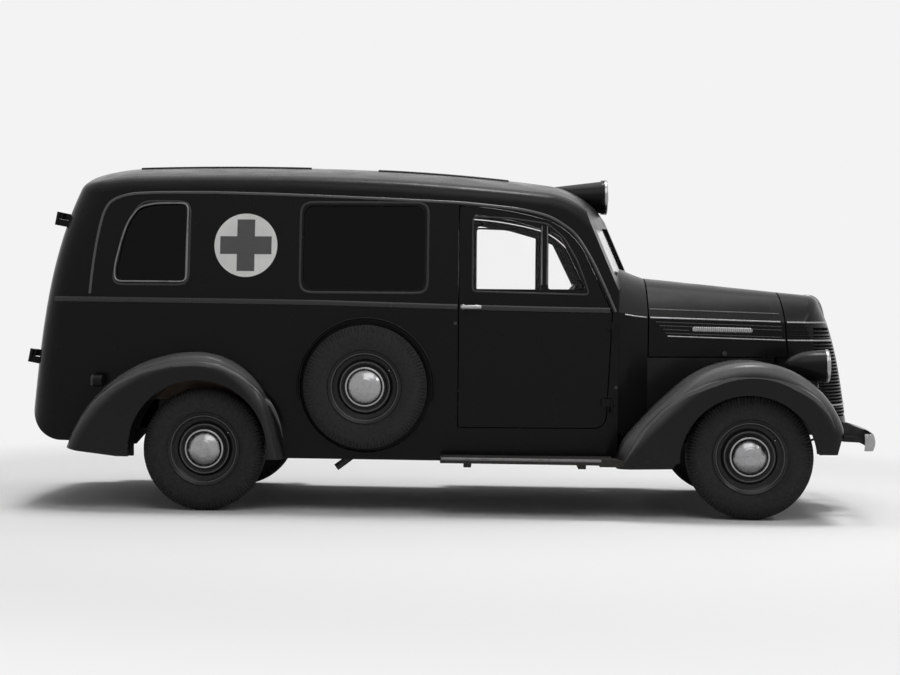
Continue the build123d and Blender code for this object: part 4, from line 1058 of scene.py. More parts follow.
@dataclass
class Wheel:
    """Bright hubcap, two raised rings and the valve on a pressed wheel."""

    name: str
    centre: Place
    side: int
    body: str
    cap_radius: float = 0.113
    cap_face: float = 0.032
    cap_rise: float = 0.056
    proud: float = 0.0012
    valve_radius: float = 0.172
    valve_turn: float = 0.6
    rings: tuple[tuple[float, float, float], ...] = ((0.1435, 0.020, 0.0065), (0.1955, 0.052, 0.0045))

    def cap_section(self) -> np.ndarray:
        """Section of the plated cap: rolled rim, flat, step and dome.

        The dome is the part of a sphere over the cap's radius with its rise, plus the shell's thickness.

        Returns:
            Radius and distance outward, one row for each point.
        """
        sphere = (self.cap_radius ** 2 + self.cap_rise ** 2) / (2 * self.cap_rise)
        radius = np.linspace(self.cap_radius * 0.89, 0.0, 22)
        dome = self.cap_face + self.cap_rise - sphere + np.sqrt(sphere ** 2 - radius ** 2) + self.proud
        ring = 0.0016 * np.exp(-((radius - 0.046) / 0.0032) ** 2)
        face = np.stack([radius, dome + ring], 1)
        rim_turn = np.linspace(-0.5 * math.pi, 0.72 * math.pi, 13)
        rim = np.stack([self.cap_radius - 0.0045 + 0.009 * np.cos(rim_turn),
                        self.cap_face + 0.0015 + 0.008 * np.sin(rim_turn)], 1)
        return np.concatenate([rim, face])

    def build(self, finishes: Finishes) -> list[Piece]:
        """Build the cap, the valve and the rings, which are given by radius, distance out and thickness.

        Args:
            finishes: The truck's finishes.

        Returns:
            The pieces.
        """
        cap, valve, rings = Soup(), Soup(), Soup()
        cap.lathe(self.centre, Axis.Y, self.side, self.cap_section(), 64)
        stem = np.array([[0.0, -0.012], [0.0035, -0.012], [0.0035, 0.014], [0.0045, 0.014], [0.0045, 0.022],
                         [0.003, 0.025], [0.0, 0.025]])
        spot = np.asarray(self.centre) + np.array([
            self.valve_radius * math.cos(self.valve_turn), self.side * 0.012,
            self.valve_radius * math.sin(self.valve_turn)])
        valve.lathe(spot, Axis.Y, self.side, stem, 12)
        bend = np.linspace(0, 2 * math.pi, 13)[:-1]
        for radius, away, tube in self.rings:
            section = np.stack([radius + tube * np.cos(bend), away + tube * np.sin(bend)], 1)
            rings.hoop(turned(self.centre, Axis.Y, self.side, section, 72))
        # The rings take the lighter enamel: painted highlight arcs on the wheel.
        return [
            cap.piece(f"{self.name}_hubcap", finishes.bright, Slot.BRIGHT, self.body),
            valve.piece(f"{self.name}_valve", finishes.bright, Slot.BRIGHT, self.body),
            rings.piece(f"{self.name}_rings", finishes.highlight_paint, Slot.WHEEL, self.body),
        ]


@dataclass
class SideTrim:
    """Mouldings of one body side: belt, drip rail, rear quarter sweep and window surrounds."""

    name: str
    side: int
    belt_width: float = 0.033
    belt_height: float = 0.009
    drip_width: float = 0.019
    drip_height: float = 0.011
    handle_drop: float = 0.042
    belt: Corners = ((-0.905, 1.241), (-0.1, 1.237), (0.67, 1.231), (1.486, 1.2125))
    door_belt: Corners = ((1.503, 1.212), (2.0, 1.2035), (2.374, 1.1995))
    drip: Corners = (
        (-0.690, 1.273), (-0.678, 1.413), (-0.655, 1.591), (-0.626, 1.739), (-0.589, 1.828), (-0.469, 1.868),
        (-0.3, 1.876), (0.05, 1.877), (0.431, 1.867), (1.024, 1.844), (1.49, 1.823), (1.671, 1.806), (1.846, 1.788),
        (2.021, 1.749), (2.166, 1.657), (2.264, 1.503), (2.352, 1.318), (2.406, 1.191),
    )
    surrounds: tuple[Corners, ...] = (
        ((-0.100, 1.330), (-0.100, 1.823), (-0.395, 1.825), (-0.497, 1.655), (-0.562, 1.330)),
        ((0.560, 1.290), (1.311, 1.290), (1.311, 1.822), (0.560, 1.822)),
    )
    quarter_bead: Corners = (
        (-0.1125, 1.3475), (-0.1125, 1.8125), (-0.300, 1.8125), (-0.405, 1.792), (-0.471, 1.705), (-0.512, 1.575),
        (-0.544, 1.440), (-0.543, 1.3475),
    )
    door_window: Corners = (
        (1.572, 1.303), (2.252, 1.289), (2.226, 1.372), (2.178, 1.492), (2.100, 1.625), (2.006, 1.704),
        (1.787, 1.7335), (1.572, 1.7415),
    )
    post_stations: tuple[float, ...] = (1.9745, 2.0065)
    post_heights: tuple[float, float] = (1.345, 1.690)
    surround_size: tuple[float, float] = (0.016, 0.006)
    bead_size: tuple[float, float] = (0.013, 0.009)
    window_size: tuple[float, float] = (0.012, 0.005)
    post_size: tuple[float, float] = (0.007, 0.005)
    lock_place: tuple[float, float] = (1.4738, 1.1158)

    def __post_init__(self) -> None:
        """Find the surfaces that the trim lies on."""
        self.skin = Skin([f"body_side_{self.name}", "roof_panel", "cowl", f"door_{self.name}"], Axis.Y, self.side)
        self.door_skin = Skin([f"door_{self.name}"], Axis.Y, self.side)

    def behind_handle(self) -> np.ndarray:
        """The door's belt strip, laid on the panel under the handle and then lifted to its line.

        Returns:
            A grid of points.
        """
        drop = np.array([0.0, self.handle_drop])
        line = smooth_path([(at(x), z) for x, z in self.door_belt], 0.01, 30)
        points, outward = self.door_skin.lay(line - drop)
        return carried_profile(points + np.array([0.0, *drop]), outward, half_round(self.belt_width, self.belt_height))

    def build(self, finishes: Finishes) -> list[Piece]:
        """Build the mouldings.

        Args:
            finishes: The truck's finishes.

        Returns:
            The pieces.
        """
        belt, drip, surrounds, beads, door, posts = (Soup() for _ in range(6))
        belt.tube(self.skin.strip(self.belt, self.belt_width, self.belt_height, 60))
        drip.tube(self.skin.strip(self.drip, self.drip_width, self.drip_height, 190, 0.10))
        for corners in self.surrounds:
            surrounds.hoop(self.skin.strip(corners, *self.surround_size, 140, 0.10, closed=True))
        beads.hoop(self.skin.strip(self.quarter_bead, *self.bead_size, 170, 0.06, closed=True))
        lock = np.array([[0.0, -0.003], [0.011, -0.003], [0.010, 0.004], [0.006, 0.007], [0.0, 0.007]])
        belt.lathe(self.skin.spot(*self.lock_place), Axis.Y, self.side, lock, 18)
        door.tube(self.behind_handle())
        door.hoop(self.door_skin.strip(self.door_window, *self.window_size, 150, 0.035, closed=True))
        for station in self.post_stations:
            line = [(station, height) for height in self.post_heights]
            posts.tube(self.door_skin.strip(line, *self.post_size, 12))
        body = f"cab_door_{self.name}"
        # The belt, window surrounds and door moulding take the mouldings' lighter enamel, and the drip rail the still
        # lighter one: painted highlights.
        return [
            belt.piece(f"belt_moulding_{self.name}", finishes.moulding_highlight_paint, Slot.PAINT),
            drip.piece(f"drip_rail_{self.name}", finishes.highlight_paint, Slot.PAINT),
            surrounds.piece(f"window_surrounds_{self.name}", finishes.moulding_highlight_paint, Slot.PAINT),
            beads.piece(f"window_bead_{self.name}", finishes.trim, Slot.BRIGHT),
            door.piece(f"door_moulding_{self.name}", finishes.moulding_highlight_paint, Slot.PAINT, body),
            posts.piece(f"door_window_posts_{self.name}", finishes.trim, Slot.BRIGHT, body),
        ]


@dataclass
class Roundel:
    """Generic ambulance marking: a pale disc with a darker cross, painted on the body side."""

    name: str
    side: int
    station: float = 0.237
    height: float = 1.565
    radius: float = 0.187
    arm: float = 0.1525
    half_bar: float = 0.0525
    film: float = 0.0012

    def build(self, finishes: Finishes) -> list[Piece]:
        """Build the disc and the cross as thin films that follow the panel.

        The disc is a polar grid: radius times the cosine and sine of the angle. The cross is two bars, each a grid
        of its own, one a hair over the other.

        Args:
            finishes: The truck's finishes.

        Returns:
            The pieces.
        """
        skin = Skin([f"body_side_{self.name}"], Axis.Y, self.side)
        disc, cross = Soup(), Soup()
        radius = np.linspace(0.0, self.radius, 9)[None, :]
        turn = np.linspace(0, 2 * math.pi, 72, endpoint=False)[:, None]
        disc.hoop(self.film_grid(skin, np.cos(turn) * radius, np.sin(turn) * radius, self.film))
        share = np.linspace(-1, 1, 9)
        for half_long, half_high in ((self.half_bar, self.arm), (self.arm, self.half_bar)):
            along, up = np.meshgrid(share * half_long, share * half_high, indexing="ij")
            lift = self.film + 0.0006 + (0.0002 if half_long > half_high else 0.0)
            cross.tube(self.film_grid(skin, along, up, lift))
        return [
            disc.piece(f"marking_disc_{self.name}", finishes.disc, Slot.PAINT),
            cross.piece(f"marking_cross_{self.name}", finishes.cross, Slot.PAINT),
        ]

    def film_grid(self, skin: Skin, along: np.ndarray, up: np.ndarray, lift: float) -> np.ndarray:
        """A grid on the panel, its face lifted by the film and its back laid just inside the panel.

        Args:
            skin: The panel.
            along: Distance forward of the marking's middle, as a grid.
            up: Distance above it.
            lift: How far the face stands proud.

        Returns:
            Rows of face points followed by back points in reverse.
        """
        places = np.stack([at(self.station) + along.ravel(), self.height + up.ravel()], 1)
        points, outward = skin.lay(places)
        face = (points + outward * lift).reshape(*along.shape, 3)
        back = (points - outward * 0.002).reshape(*along.shape, 3)
        return np.concatenate([face, back[:, ::-1]], 1)


@dataclass
class Nose:
    """Mouldings wrapped round the radiator shell, and the strip down its centreline.

    At one height the shell's half width is the lesser of the hood's flank, carried on in a straight line, and the
    bow's circle through the two roots and the front point.
    """

    root_station: float = 3.430
    root_half: float = 0.400
    seam_station: float = 3.432
    hood_length: float = 0.836
    lines: tuple[tuple[float, float, float], ...] = (
        (1.1365, 0.011, 0.006), (1.029, 0.011, 0.006), (0.640, 0.010, 0.007))
    fine_lines: tuple[float, ...] = (1.112, 1.086, 1.058)
    strip_width: float = 0.024
    strip_height: float = 0.009

    def __post_init__(self) -> None:
        """Find the shell's centreline."""
        self.front_skin = Skin(["grille_shell"], Axis.X, 1)
        self.top_skin = Skin(["grille_shell"], Axis.Z, 1)

    def front(self, height: float) -> float:
        """Station of the centreline at a height."""
        return float(self.front_skin.height(np.array([[0.0, height]]))[0]) + ORIGIN_STATION

    def flank(self, stations: np.ndarray, height: float) -> np.ndarray:
        """Half width of the hood's flank: it narrows in a straight line forward and leans out with height.

        Args:
            stations: Stations along the flank.
            height: Height.

        Returns:
            The half width at each station.
        """
        forward = (stations - HOOD_REAR) / self.hood_length
        shoulder = 1.160 - 0.025 * forward
        half = 0.572 - 0.200 * forward
        skirt = 0.560 - 0.198 * forward
        return skirt + (half - skirt) * np.minimum((height - 0.48) / (shoulder - 0.48), 1.0)

    def ring(self, height: float, start: float, count: int) -> np.ndarray:
        """Points round the shell at one height, from the right seam over the front to the left seam.

        Args:
            height: The height.
            start: Station where the line leaves the seam.
            count: Points on each side.

        Returns:
            Points, one row each.
        """
        front = self.front(height)
        share = np.linspace(0, 1, count)
        stations = front - (front - start) * (1 - share) ** 2
        ahead = front - self.root_station
        centre = (ahead ** 2 - self.root_half ** 2) / (2 * ahead)
        radius = ahead - centre
        bow = np.sqrt(np.maximum(radius ** 2 - (stations - self.root_station - centre) ** 2, 0))
        across = np.minimum(bow, self.flank(stations, height))
        right = np.stack([stations - ORIGIN_STATION, -across, np.full(count, height)], 1)
        left = right[::-1][1:] * np.array([1, -1, 1])
        return np.concatenate([right, left])

    def wrapped(self, height: float, start: float, width: float, proud: float) -> np.ndarray:
        """A half-round strip round the shell at one height.

        Args:
            height: Height of its line.
            start: Station of its two ends.
            width: Width of the strip.
            proud: How far it stands out.

        Returns:
            A grid of points.
        """
        line = self.ring(height, start, 60)
        lean = self.ring(height + 0.008, start, 60) - self.ring(height - 0.008, start, 60)
        ahead = np.gradient(line, axis=0)
        outward = unit(np.cross(lean, ahead))
        outward *= np.sign(outward[:, :1] * 0.2 + outward[:, 1:2] * np.sign(line[:, 1:2]) + 1e-6)
        line, outward = even(line, outward, 130)
        return carried_profile(line, unit(outward), half_round(width, proud, 7, 0.004))

    def over_bow(self, low: float, high: float, rising: int, rear: float, count: int,
                 profile: np.ndarray) -> tuple[np.ndarray, np.ndarray]:
        """A profile carried up the bow's centreline and back over its top.

        Args:
            low: Height where it starts.
            high: Height where it turns back.
            rising: Points up the bow.
            rear: Station where it ends.
            count: Points along the whole line.
            profile: The profile.

        Returns:
            The line's points, and the grid round them.
        """
        heights = np.linspace(low, high, rising)
        rise = np.stack([self.front_skin.height(np.stack([np.zeros(rising), heights], 1)), heights], 1)
        back = np.linspace(rise[-1, 0] - 0.006, at(rear), 12)
        over = np.stack([back, self.top_skin.height(np.stack([back, np.zeros(12)], 1))], 1)
        flat = smooth_path(np.concatenate([rise, over]), 0.02, count)
        ahead = np.gradient(flat, axis=0)
        line = np.stack([flat[:, 0], np.zeros(count), flat[:, 1]], 1)
        outward = unit(np.stack([ahead[:, 1], np.zeros(count), -ahead[:, 0]], 1))
        return line, carried_profile(line, outward, profile)

    def ornament(self) -> np.ndarray:
        """A plain tapering spear over the top of the bow: the strip's line, its section swollen by a sine arch.

        Returns:
            A grid of points.
        """
        line, section = self.over_bow(1.150, 1.286, 26, 3.565, 60, half_round(0.046, 0.020, 11, 0.004))
        swell = 0.12 + 0.88 * np.sin(math.pi * np.linspace(0.02, 0.98, 60)) ** 0.8
        return line[:, None] + (section - line[:, None]) * swell[:, None, None]

    def build(self, finishes: Finishes) -> list[Piece]:
        """Build the mouldings and the strip, which runs back over the top to the hood's seam.

        Args:
            finishes: The truck's finishes.

        Returns:
            The pieces.
        """
        bright, fine, strip = Soup(), Soup(), Soup()
        for height, width, proud in self.lines:
            start = self.seam_station + 0.45 * (1.16 - height) * 0.1 if height > 0.9 else 3.60
            bright.tube(self.wrapped(height, start + 0.01, width, proud))
        for height in self.fine_lines:
            fine.tube(self.wrapped(height, self.seam_station + 0.02, 0.005, 0.0035))
        profile = half_round(self.strip_width, self.strip_height, 9, 0.005)
        strip.tube(self.over_bow(0.578, 1.288, 40, 3.424, 90, profile)[1])
        strip.tube(self.ornament())
        return [
            bright.piece("shell_mouldings", finishes.bright, Slot.BRIGHT),
            fine.piece("shell_fine_lines", finishes.paint, Slot.PAINT),
            strip.piece("shell_centre_strip", finishes.trim, Slot.BRIGHT),
        ]


@dataclass
class HoodTrim:
    """Mouldings along one hood half and the scuttle, with the louvre lines and the ribbed bright bar between them."""

    name: str
    side: int
    moulding_width: float = 0.012
    moulding_height: float = 0.006
    bar_start: float = 2.870
    bar_end: float = 3.236
    bar_width: float = 0.034
    bar_height: float = 0.009
    ribs: int = 30
    mouldings: tuple[Corners, ...] = (((2.618, 1.1585), (3.404, 1.1385)), ((2.722, 1.049), (3.436, 1.0285)))
    louvre_lines: Corners = ((2.652, 1.134), (2.674, 1.112), (2.696, 1.090), (2.712, 1.068))
    louvre_front: float = 3.412
    louvre_size: tuple[float, float] = (0.006, 0.0035)
    crease: Corners = ((2.616, 1.2085), (3.400, 1.1865))
    crease_size: tuple[float, float] = (0.010, 0.004)
    scuttle_line: Corners = ((2.462, 1.176), (2.53, 1.1655), (2.596, 1.159))
    latch_place: tuple[float, float] = (3.066, 0.9445)
    stud_place: tuple[float, float] = (2.413, 0.749)

    def __post_init__(self) -> None:
        """Find the surfaces that the trim lies on."""
        self.hood = Skin([f"hood_{self.name}"], Axis.Y, self.side)
        self.scuttle = Skin(["cowl"], Axis.Y, self.side)

    def ribbed_bar(self) -> np.ndarray:
        """The bright bar: a half-round whose width follows a capsule and whose height swells over each rib.

        With s from -1 to 1 along it, width is the full width times the root of 1 less the end share squared, and
        height is the full height times 0.72 plus 0.28 of the cosine of the rib's angle.

        Returns:
            A grid of points.
        """
        count = self.ribs * 6 + 1
        share = np.linspace(0, 1, count)
        stations = self.bar_start + (self.bar_end - self.bar_start) * share
        heights = 1.0925 - 0.0065 * share
        points, outward = self.hood.lay(np.stack([stations - ORIGIN_STATION, heights], 1))
        length = self.bar_end - self.bar_start
        from_end = np.minimum(share, 1 - share) * length
        cap = np.sqrt(np.clip(1 - (1 - from_end / (self.bar_width / 2)) ** 2, 0, 1))
        cap = np.where(from_end > self.bar_width / 2, 1.0, cap) * 0.98 + 0.02
        swell = 0.72 + 0.28 * np.cos(2 * math.pi * self.ribs * share)
        ahead = np.gradient(points, axis=0)
        across = unit(np.cross(unit(ahead), outward))
        turn = np.linspace(0, math.pi, 11)[None, :, None]
        arch = across[:, None] * np.cos(turn) * (cap * self.bar_width / 2)[:, None, None]
        rise = outward[:, None] * np.sin(turn) * (cap * swell * self.bar_height)[:, None, None]
        back = points[:, None] - outward[:, None] * 0.002
        return np.concatenate([points[:, None] + arch + rise, back + arch[:, -1:], back + arch[:, :1]], 1)

    def build(self, finishes: Finishes) -> list[Piece]:
        """Build the mouldings, lines, bar, latch and stud. The line that meets the bar stops short at its rear end.

        Args:
            finishes: The truck's finishes.

        Returns:
            The pieces.
        """
        bright, crease, fine, bar, latch, cowl, stud = (Soup() for _ in range(7))
        for corners in self.mouldings:
            bright.tube(self.hood.strip(corners, self.moulding_width, self.moulding_height, 40))
        crease.tube(self.hood.strip(self.crease, *self.crease_size, 40))
        for rear, height in self.louvre_lines:
            drop = 0.0245 * (3.41 - rear) / 0.80
            meets_bar = 1.08 < height < 1.10
            end = (2.85, height - drop * 0.25) if meets_bar else (self.louvre_front, height - drop)
            fine.tube(self.hood.strip([(rear, height), end], *self.louvre_size, 40))
        bar.tube(self.ribbed_bar())
        knob = np.array([[0.0, -0.004], [0.016, -0.004], [0.016, 0.003], [0.010, 0.006], [0.010, 0.012],
                         [0.014, 0.016], [0.012, 0.020], [0.0, 0.021]])
        latch.lathe(self.hood.spot(*self.latch_place), Axis.Y, self.side, knob, 20)
        cowl.tube(self.scuttle.strip(self.scuttle_line, self.moulding_width, self.moulding_height, 16))
        dot = np.array([[0.0, -0.003], [0.011, -0.003], [0.010, 0.004], [0.0, 0.007]])
        stud.lathe(self.scuttle.spot(*self.stud_place), Axis.Y, self.side, dot, 16)
        body = f"hood_{self.name}"
        # The latch and stud take the mouldings' lighter enamel, and the crease and louvre lines the still lighter one:
        # painted highlights.
        return [
            bright.piece(f"hood_mouldings_{self.name}", finishes.bright, Slot.BRIGHT, body),
            crease.piece(f"hood_crease_{self.name}", finishes.highlight_paint, Slot.PAINT, body),
            fine.piece(f"hood_louvre_lines_{self.name}", finishes.highlight_paint, Slot.PAINT, body),
            bar.piece(f"hood_ribbed_bar_{self.name}", finishes.bright, Slot.BRIGHT, body, 50.0),
            latch.piece(f"hood_latch_{self.name}", finishes.moulding_highlight_paint, Slot.PAINT, body),
            cowl.piece(f"scuttle_moulding_{self.name}", finishes.bright, Slot.BRIGHT),
            stud.piece(f"scuttle_stud_{self.name}", finishes.moulding_highlight_paint, Slot.PAINT),
        ]


@dataclass
class DoorHandle:
    """Plated grip and rosettes of one cab door's handle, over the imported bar."""

    name: str
    side: int
    grip_start: float = 1.500
    grip_length: float = 0.132
    grip_y: float = 0.810
    height: float = 1.212
    grip_radius: float = 0.0135
    rosette_stations: tuple[float, ...] = (1.520, 1.596)
    panel_height: float = 1.175

    def build(self, finishes: Finishes) -> list[Piece]:
        """Build the handle.

        The grip's radius swells in the middle: full radius times 0.9 plus 0.1 of a sine arch, with round ends.

        Args:
            finishes: The truck's finishes.

        Returns:
            The piece.
        """
        soup = Soup()
        share = np.linspace(0, 1, 24)
        from_end = np.minimum(share, 1 - share) * self.grip_length
        ends = np.sqrt(np.clip(1 - (1 - from_end / self.grip_radius) ** 2, 0, 1))
        ends = np.where(from_end > self.grip_radius, 1.0, ends)
        radius = self.grip_radius * (0.9 + 0.1 * np.sin(math.pi * share)) * ends
        profile = np.stack([radius, share * self.grip_length], 1)
        middle = (at(self.grip_start), self.side * self.grip_y, self.height)
        soup.lathe(middle, Axis.X, 1, profile, 18)
        skin = Skin([f"door_{self.name}"], Axis.Y, self.side)
        rosette = np.array([[0.0, -0.004], [0.017, -0.004], [0.017, 0.003], [0.014, 0.007], [0.0095, 0.009],
                            [0.0085, 0.024], [0.0, 0.024]])
        for station in self.rosette_stations:
            y = float(skin.height(np.array([[at(station), self.panel_height]]))[0])
            soup.lathe((at(station), y, self.height), Axis.Y, self.side, rosette, 20)
        return [soup.piece(f"door_handle_{self.name}", finishes.bright, Slot.BRIGHT, f"cab_door_{self.name}")]


@dataclass
class BoardRubber:
    """Ribbed mat and edge strip of one running board."""

    name: str
    side: int
    rear: float = 1.404
    front: float = 2.318
    top: float = 0.346
    inner: float = 0.762
    outer: float = 0.884
    edge_y: float = 0.9
    edge_drop: float = 0.009
    ribs: int = 9

    def build(self, finishes: Finishes) -> list[Piece]:
        """Build the ribs as half-rounds in equal steps across the board, and the plated edge.

        Args:
            finishes: The truck's finishes.

        Returns:
            The pieces.
        """
        mat, edge = Soup(), Soup()
        count = 24
        stations = np.linspace(at(self.rear), at(self.front), count)
        up = np.tile([0.0, 0.0, 1.0], (count, 1))
        for across in np.linspace(self.inner, self.outer, self.ribs):
            line = np.stack([stations, np.full(count, self.side * across), np.full(count, self.top)], 1)
            mat.tube(carried_profile(line, up, half_round(0.009, 0.003, 5, 0.001)))
        edge_y, edge_z = self.side * self.edge_y, self.top - self.edge_drop
        line = np.stack([stations, np.full(count, edge_y), np.full(count, edge_z)], 1)
        out = np.tile([0.0, float(self.side), 0.0], (count, 1))
        edge.tube(carried_profile(line, out, half_round(0.018, 0.005, 7, 0.002)))
        return [
            mat.piece(f"board_mat_{self.name}", finishes.board, Slot.BOARD),
            edge.piece(f"board_edge_{self.name}", finishes.trim, Slot.BRIGHT),
        ]


@dataclass
class Headlamps:
    """Two bullet headlamps: shell on a flared foot, plated rim, reflector, bulb and fluted lens."""

    crown_station: float = 3.610
    tail_length: float = 0.221
    radius: float = 0.095
    y: float = 0.620
    z: float = 0.885
    foot_station: float = 3.540
    foot_y: float = 0.625
    bowl_radius: float = 0.0885
    lens_radius: float = 0.0865

    def shell_section(self) -> np.ndarray:
        """Section of the shell: an ellipse from the tail to the crown, out and back inside.

        Returns:
            Radius and distance forward, one row for each point.
        """
        turn = np.linspace(0, math.pi / 2, 26)
        outside = np.stack([self.radius * np.sin(turn), -self.tail_length * np.cos(turn)], 1)
        inside = np.stack([0.95 * self.radius * np.sin(turn), -0.94 * self.tail_length * np.cos(turn)], 1)[::-1]
        mouth = np.array([[self.radius, 0.013], [0.95 * self.radius, 0.013]])
        return np.concatenate([outside, mouth, inside])

    def shallow(self, radius: np.ndarray, out: np.ndarray, thickness: float) -> np.ndarray:
        """Section of a thin dish: its face from the axis out, and its back the same way home."""
        return np.concatenate([np.stack([radius, out], 1), np.stack([radius, out - thickness], 1)[::-1]])

    def build(self, finishes: Finishes) -> list[Piece]:
        """Build the lamps.

        Args:
            finishes: The truck's finishes.

        Returns:
            The pieces.
        """
        shells, rims, bowls, lenses = Soup(), Soup(), Soup(), Soup()
        rim = np.array([[0.0945, 0.008], [0.0975, 0.009], [0.0990, 0.013], [0.0990, 0.023], [0.0975, 0.028],
                        [0.0935, 0.031], [0.0890, 0.0315], [0.0865, 0.029], [0.0865, 0.025], [0.0915, 0.022],
                        [0.0915, 0.009]])
        share = np.linspace(0, 1, 14)
        dish = -0.045 + 0.069 * share ** 2
        bowl = self.shallow(self.bowl_radius * share, dish, 0.002)
        lens = self.shallow(self.lens_radius * share, 0.0415 - 0.012 * share ** 2, 0.0035)
        foot = np.array([[0.0, -0.125], [0.046, -0.125], [0.045, -0.104], [0.036, -0.092], [0.031, -0.078],
                         [0.031, -0.068], [0.038, -0.056], [0.0, -0.05]])
        bulb = np.array([[0.0, -0.044], [0.007, -0.044], [0.007, -0.028], [0.010, -0.020], [0.009, -0.011],
                         [0.0, -0.006]])
        for _, side in SIDES:
            middle = (at(self.crown_station), side * self.y, self.z)
            shells.lathe(middle, Axis.X, 1, self.shell_section(), 56)
            shells.lathe((at(self.foot_station), side * self.foot_y, self.z), Axis.Z, 1, foot, 32)
            rims.hoop(turned(middle, Axis.X, 1, rim, 64))
            bowls.lathe(middle, Axis.X, 1, bowl, 56)
            lenses.lathe(middle, Axis.X, 1, lens, 56)
            bowls.lathe(middle, Axis.X, 1, bulb, 16)
        shell = shells.piece("headlamp_shells", finishes.paint, Slot.PAINT)
        glass = lenses.piece("headlamp_lenses", finishes.lens, Slot.LENS)
        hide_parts("headlamps")
        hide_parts("lamp_lenses")
        return [
            shell, glass, rims.piece("headlamp_rims", finishes.bright, Slot.BRIGHT),
            bowls.piece("headlamp_reflectors", finishes.reflector, Slot.BRIGHT),
        ]


@dataclass
class Bumper:
    """Plated bar of rounded section, bowed and curled back at its ends, on two forged irons."""

    end_station: float = 3.867
    end_y: float = 0.810
    front_station: float = 3.9236
    curl: float = 0.038
    tail: float = 0.022
    low: float = 0.411
    height: float = 0.098
    metal: float = 0.006
    iron_y: float = 0.397
    iron_web: Corners = (
        (3.702, 0.440), (3.702, 0.565), (3.78, 0.545), (3.909, 0.500), (3.909, 0.425), (3.78, 0.430))
    iron_foot: tuple[float, float, float, float] = (3.662, 3.84, 0.4557, 0.4697)
    bolt_station: float = 3.9155

    def run(self) -> tuple[np.ndarray, np.ndarray]:
        """Centreline of the bar in plan and the way out from it.

        The bow is a circle through the two ends and the front; each curl is a circle of its own radius that takes
        the heading on by 82 degrees, and a short straight follows it.

        Returns:
            Points and unit vectors.
        """
        sagitta = self.front_station - self.end_station
        radius = (self.end_y ** 2 + sagitta ** 2) / (2 * sagitta)
        swing = math.asin(self.end_y / radius)
        turn = np.linspace(-swing, swing, 90)
        bow = np.stack([self.front_station - radius + radius * np.cos(turn), radius * np.sin(turn)], 1)
        heading = math.pi / 2 + swing
        middle = bow[-1] + self.curl * np.array([math.cos(heading + math.pi / 2), math.sin(heading + math.pi / 2)])
        bend = heading - math.pi / 2 + np.radians(np.linspace(4, 82, 18))
        curl = middle + self.curl * np.stack([np.cos(bend), np.sin(bend)], 1)
        last = bend[-1] + math.pi / 2
        tail = curl[-1] + self.tail * np.array([[math.cos(last), math.sin(last)]])
        left = np.concatenate([curl, tail])
        right = left[::-1] * np.array([1, -1])
        flat = np.concatenate([right, bow, left])
        flat, _ = even(flat, flat, 220)
        line = np.stack([flat[:, 0] - ORIGIN_STATION, flat[:, 1], np.full(len(flat), self.low + self.height / 2)], 1)
        ahead = unit(np.gradient(line, axis=0))
        return line, np.stack([ahead[:, 1], -ahead[:, 0], np.zeros(len(line))], 1)

    def build(self, finishes: Finishes) -> list[Piece]:
        """Build the bar, its irons and bolts.

        The bar's section is a crowned strip: outward is the metal's thickness less twelve millimetres times the
        square of the share of the height.

        Args:
            finishes: The truck's finishes.

        Returns:
            The pieces.
        """
        line, outward = self.run()
        share = np.linspace(-1, 1, 15)
        crowned = self.metal - 0.012 * share ** 2
        face = np.stack([share * self.height / 2, crowned], 1)
        back = np.stack([share * (self.height / 2 - 0.001), crowned - self.metal], 1)[::-1]
        bar, irons = Soup(), Soup()
        bar.tube(carried_profile(line, outward, np.concatenate([face, back])))
        bolt = np.array([[0.0, -0.006], [0.013, -0.006], [0.013, 0.001], [0.010, 0.0045], [0.0, 0.006]])
        for _, side in SIDES:
            irons.slab(self.iron_web, side, self.iron_y - 0.007, self.iron_y + 0.007)
            irons.slab(oblong(*self.iron_foot), side, 0.372, 0.422)
            middle = (at(self.bolt_station), side * self.iron_y, self.low + self.height / 2)
            irons.lathe(middle, Axis.X, 1, bolt, 20)
        bright = bar.piece("bumper_bar", finishes.bright, Slot.BRIGHT, smooth_angle=50.0)
        dark = irons.piece("bumper_irons", finishes.chassis, Slot.CHASSIS)
        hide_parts("bumper")
        return [bright, dark]


@dataclass
class LampFaces:
    """Rims and lenses of the roof lamp and the tail lamps, given by place, radius and sign along X."""

    faces: tuple[tuple[str, float, float, float, float, int], ...] = (
        ("roof_lamp", 2.387, 0.0, 1.903, 0.107, 1),
        ("tail_lamp_right", -0.657, -0.838, 0.760, 0.036, -1),
        ("tail_lamp_left", -0.657, 0.838, 0.760, 0.036, -1),
    )

    def build(self, finishes: Finishes) -> list[Piece]:
        """Build a rolled rim and a domed lens on each face.

        The lens stands out by its rise times 1 less the squared share of its radius.

        Args:
            finishes: The truck's finishes.

        Returns:
            The pieces.
        """
        pieces = []
        share = np.linspace(0, 1, 9)
        for name, station, y, z, radius, way in self.faces:
            middle = (at(station), y, z)
            lip = 0.0022 + 0.02 * radius
            rim = np.array([
                [radius - 0.001, -0.010], [radius + 0.0015, -0.010], [radius + 0.0025, 0.0], [radius + 0.0015, lip],
                [radius - 0.003, 1.8 * lip], [radius - 0.010, 1.6 * lip], [radius - 0.011, 0.0004],
                [radius - 0.001, 0.0004]])
            pane = radius - 0.0105
            dome = 0.003 + (0.10 * radius + 0.003) * (1 - share ** 2)
            lens = np.concatenate([np.stack([pane * share, dome], 1), np.array([[pane, 0.0006], [0.0, 0.0006]])])
            ring, glass = Soup(), Soup()
            ring.hoop(turned(middle, Axis.X, way, rim, 48))
            glass.lathe(middle, Axis.X, way, lens, 40)
            on_roof = name == "roof_lamp"
            # Tail lamp rims take the mouldings' lighter enamel, a painted highlight.
            rim_finish = finishes.bright if on_roof else finishes.moulding_highlight_paint
            pieces.append(ring.piece(f"{name}_rim", rim_finish, Slot.BRIGHT))
            pieces.append(glass.piece(f"{name}_lens", finishes.lens if on_roof else finishes.tail_lens, Slot.LENS))
        return pieces


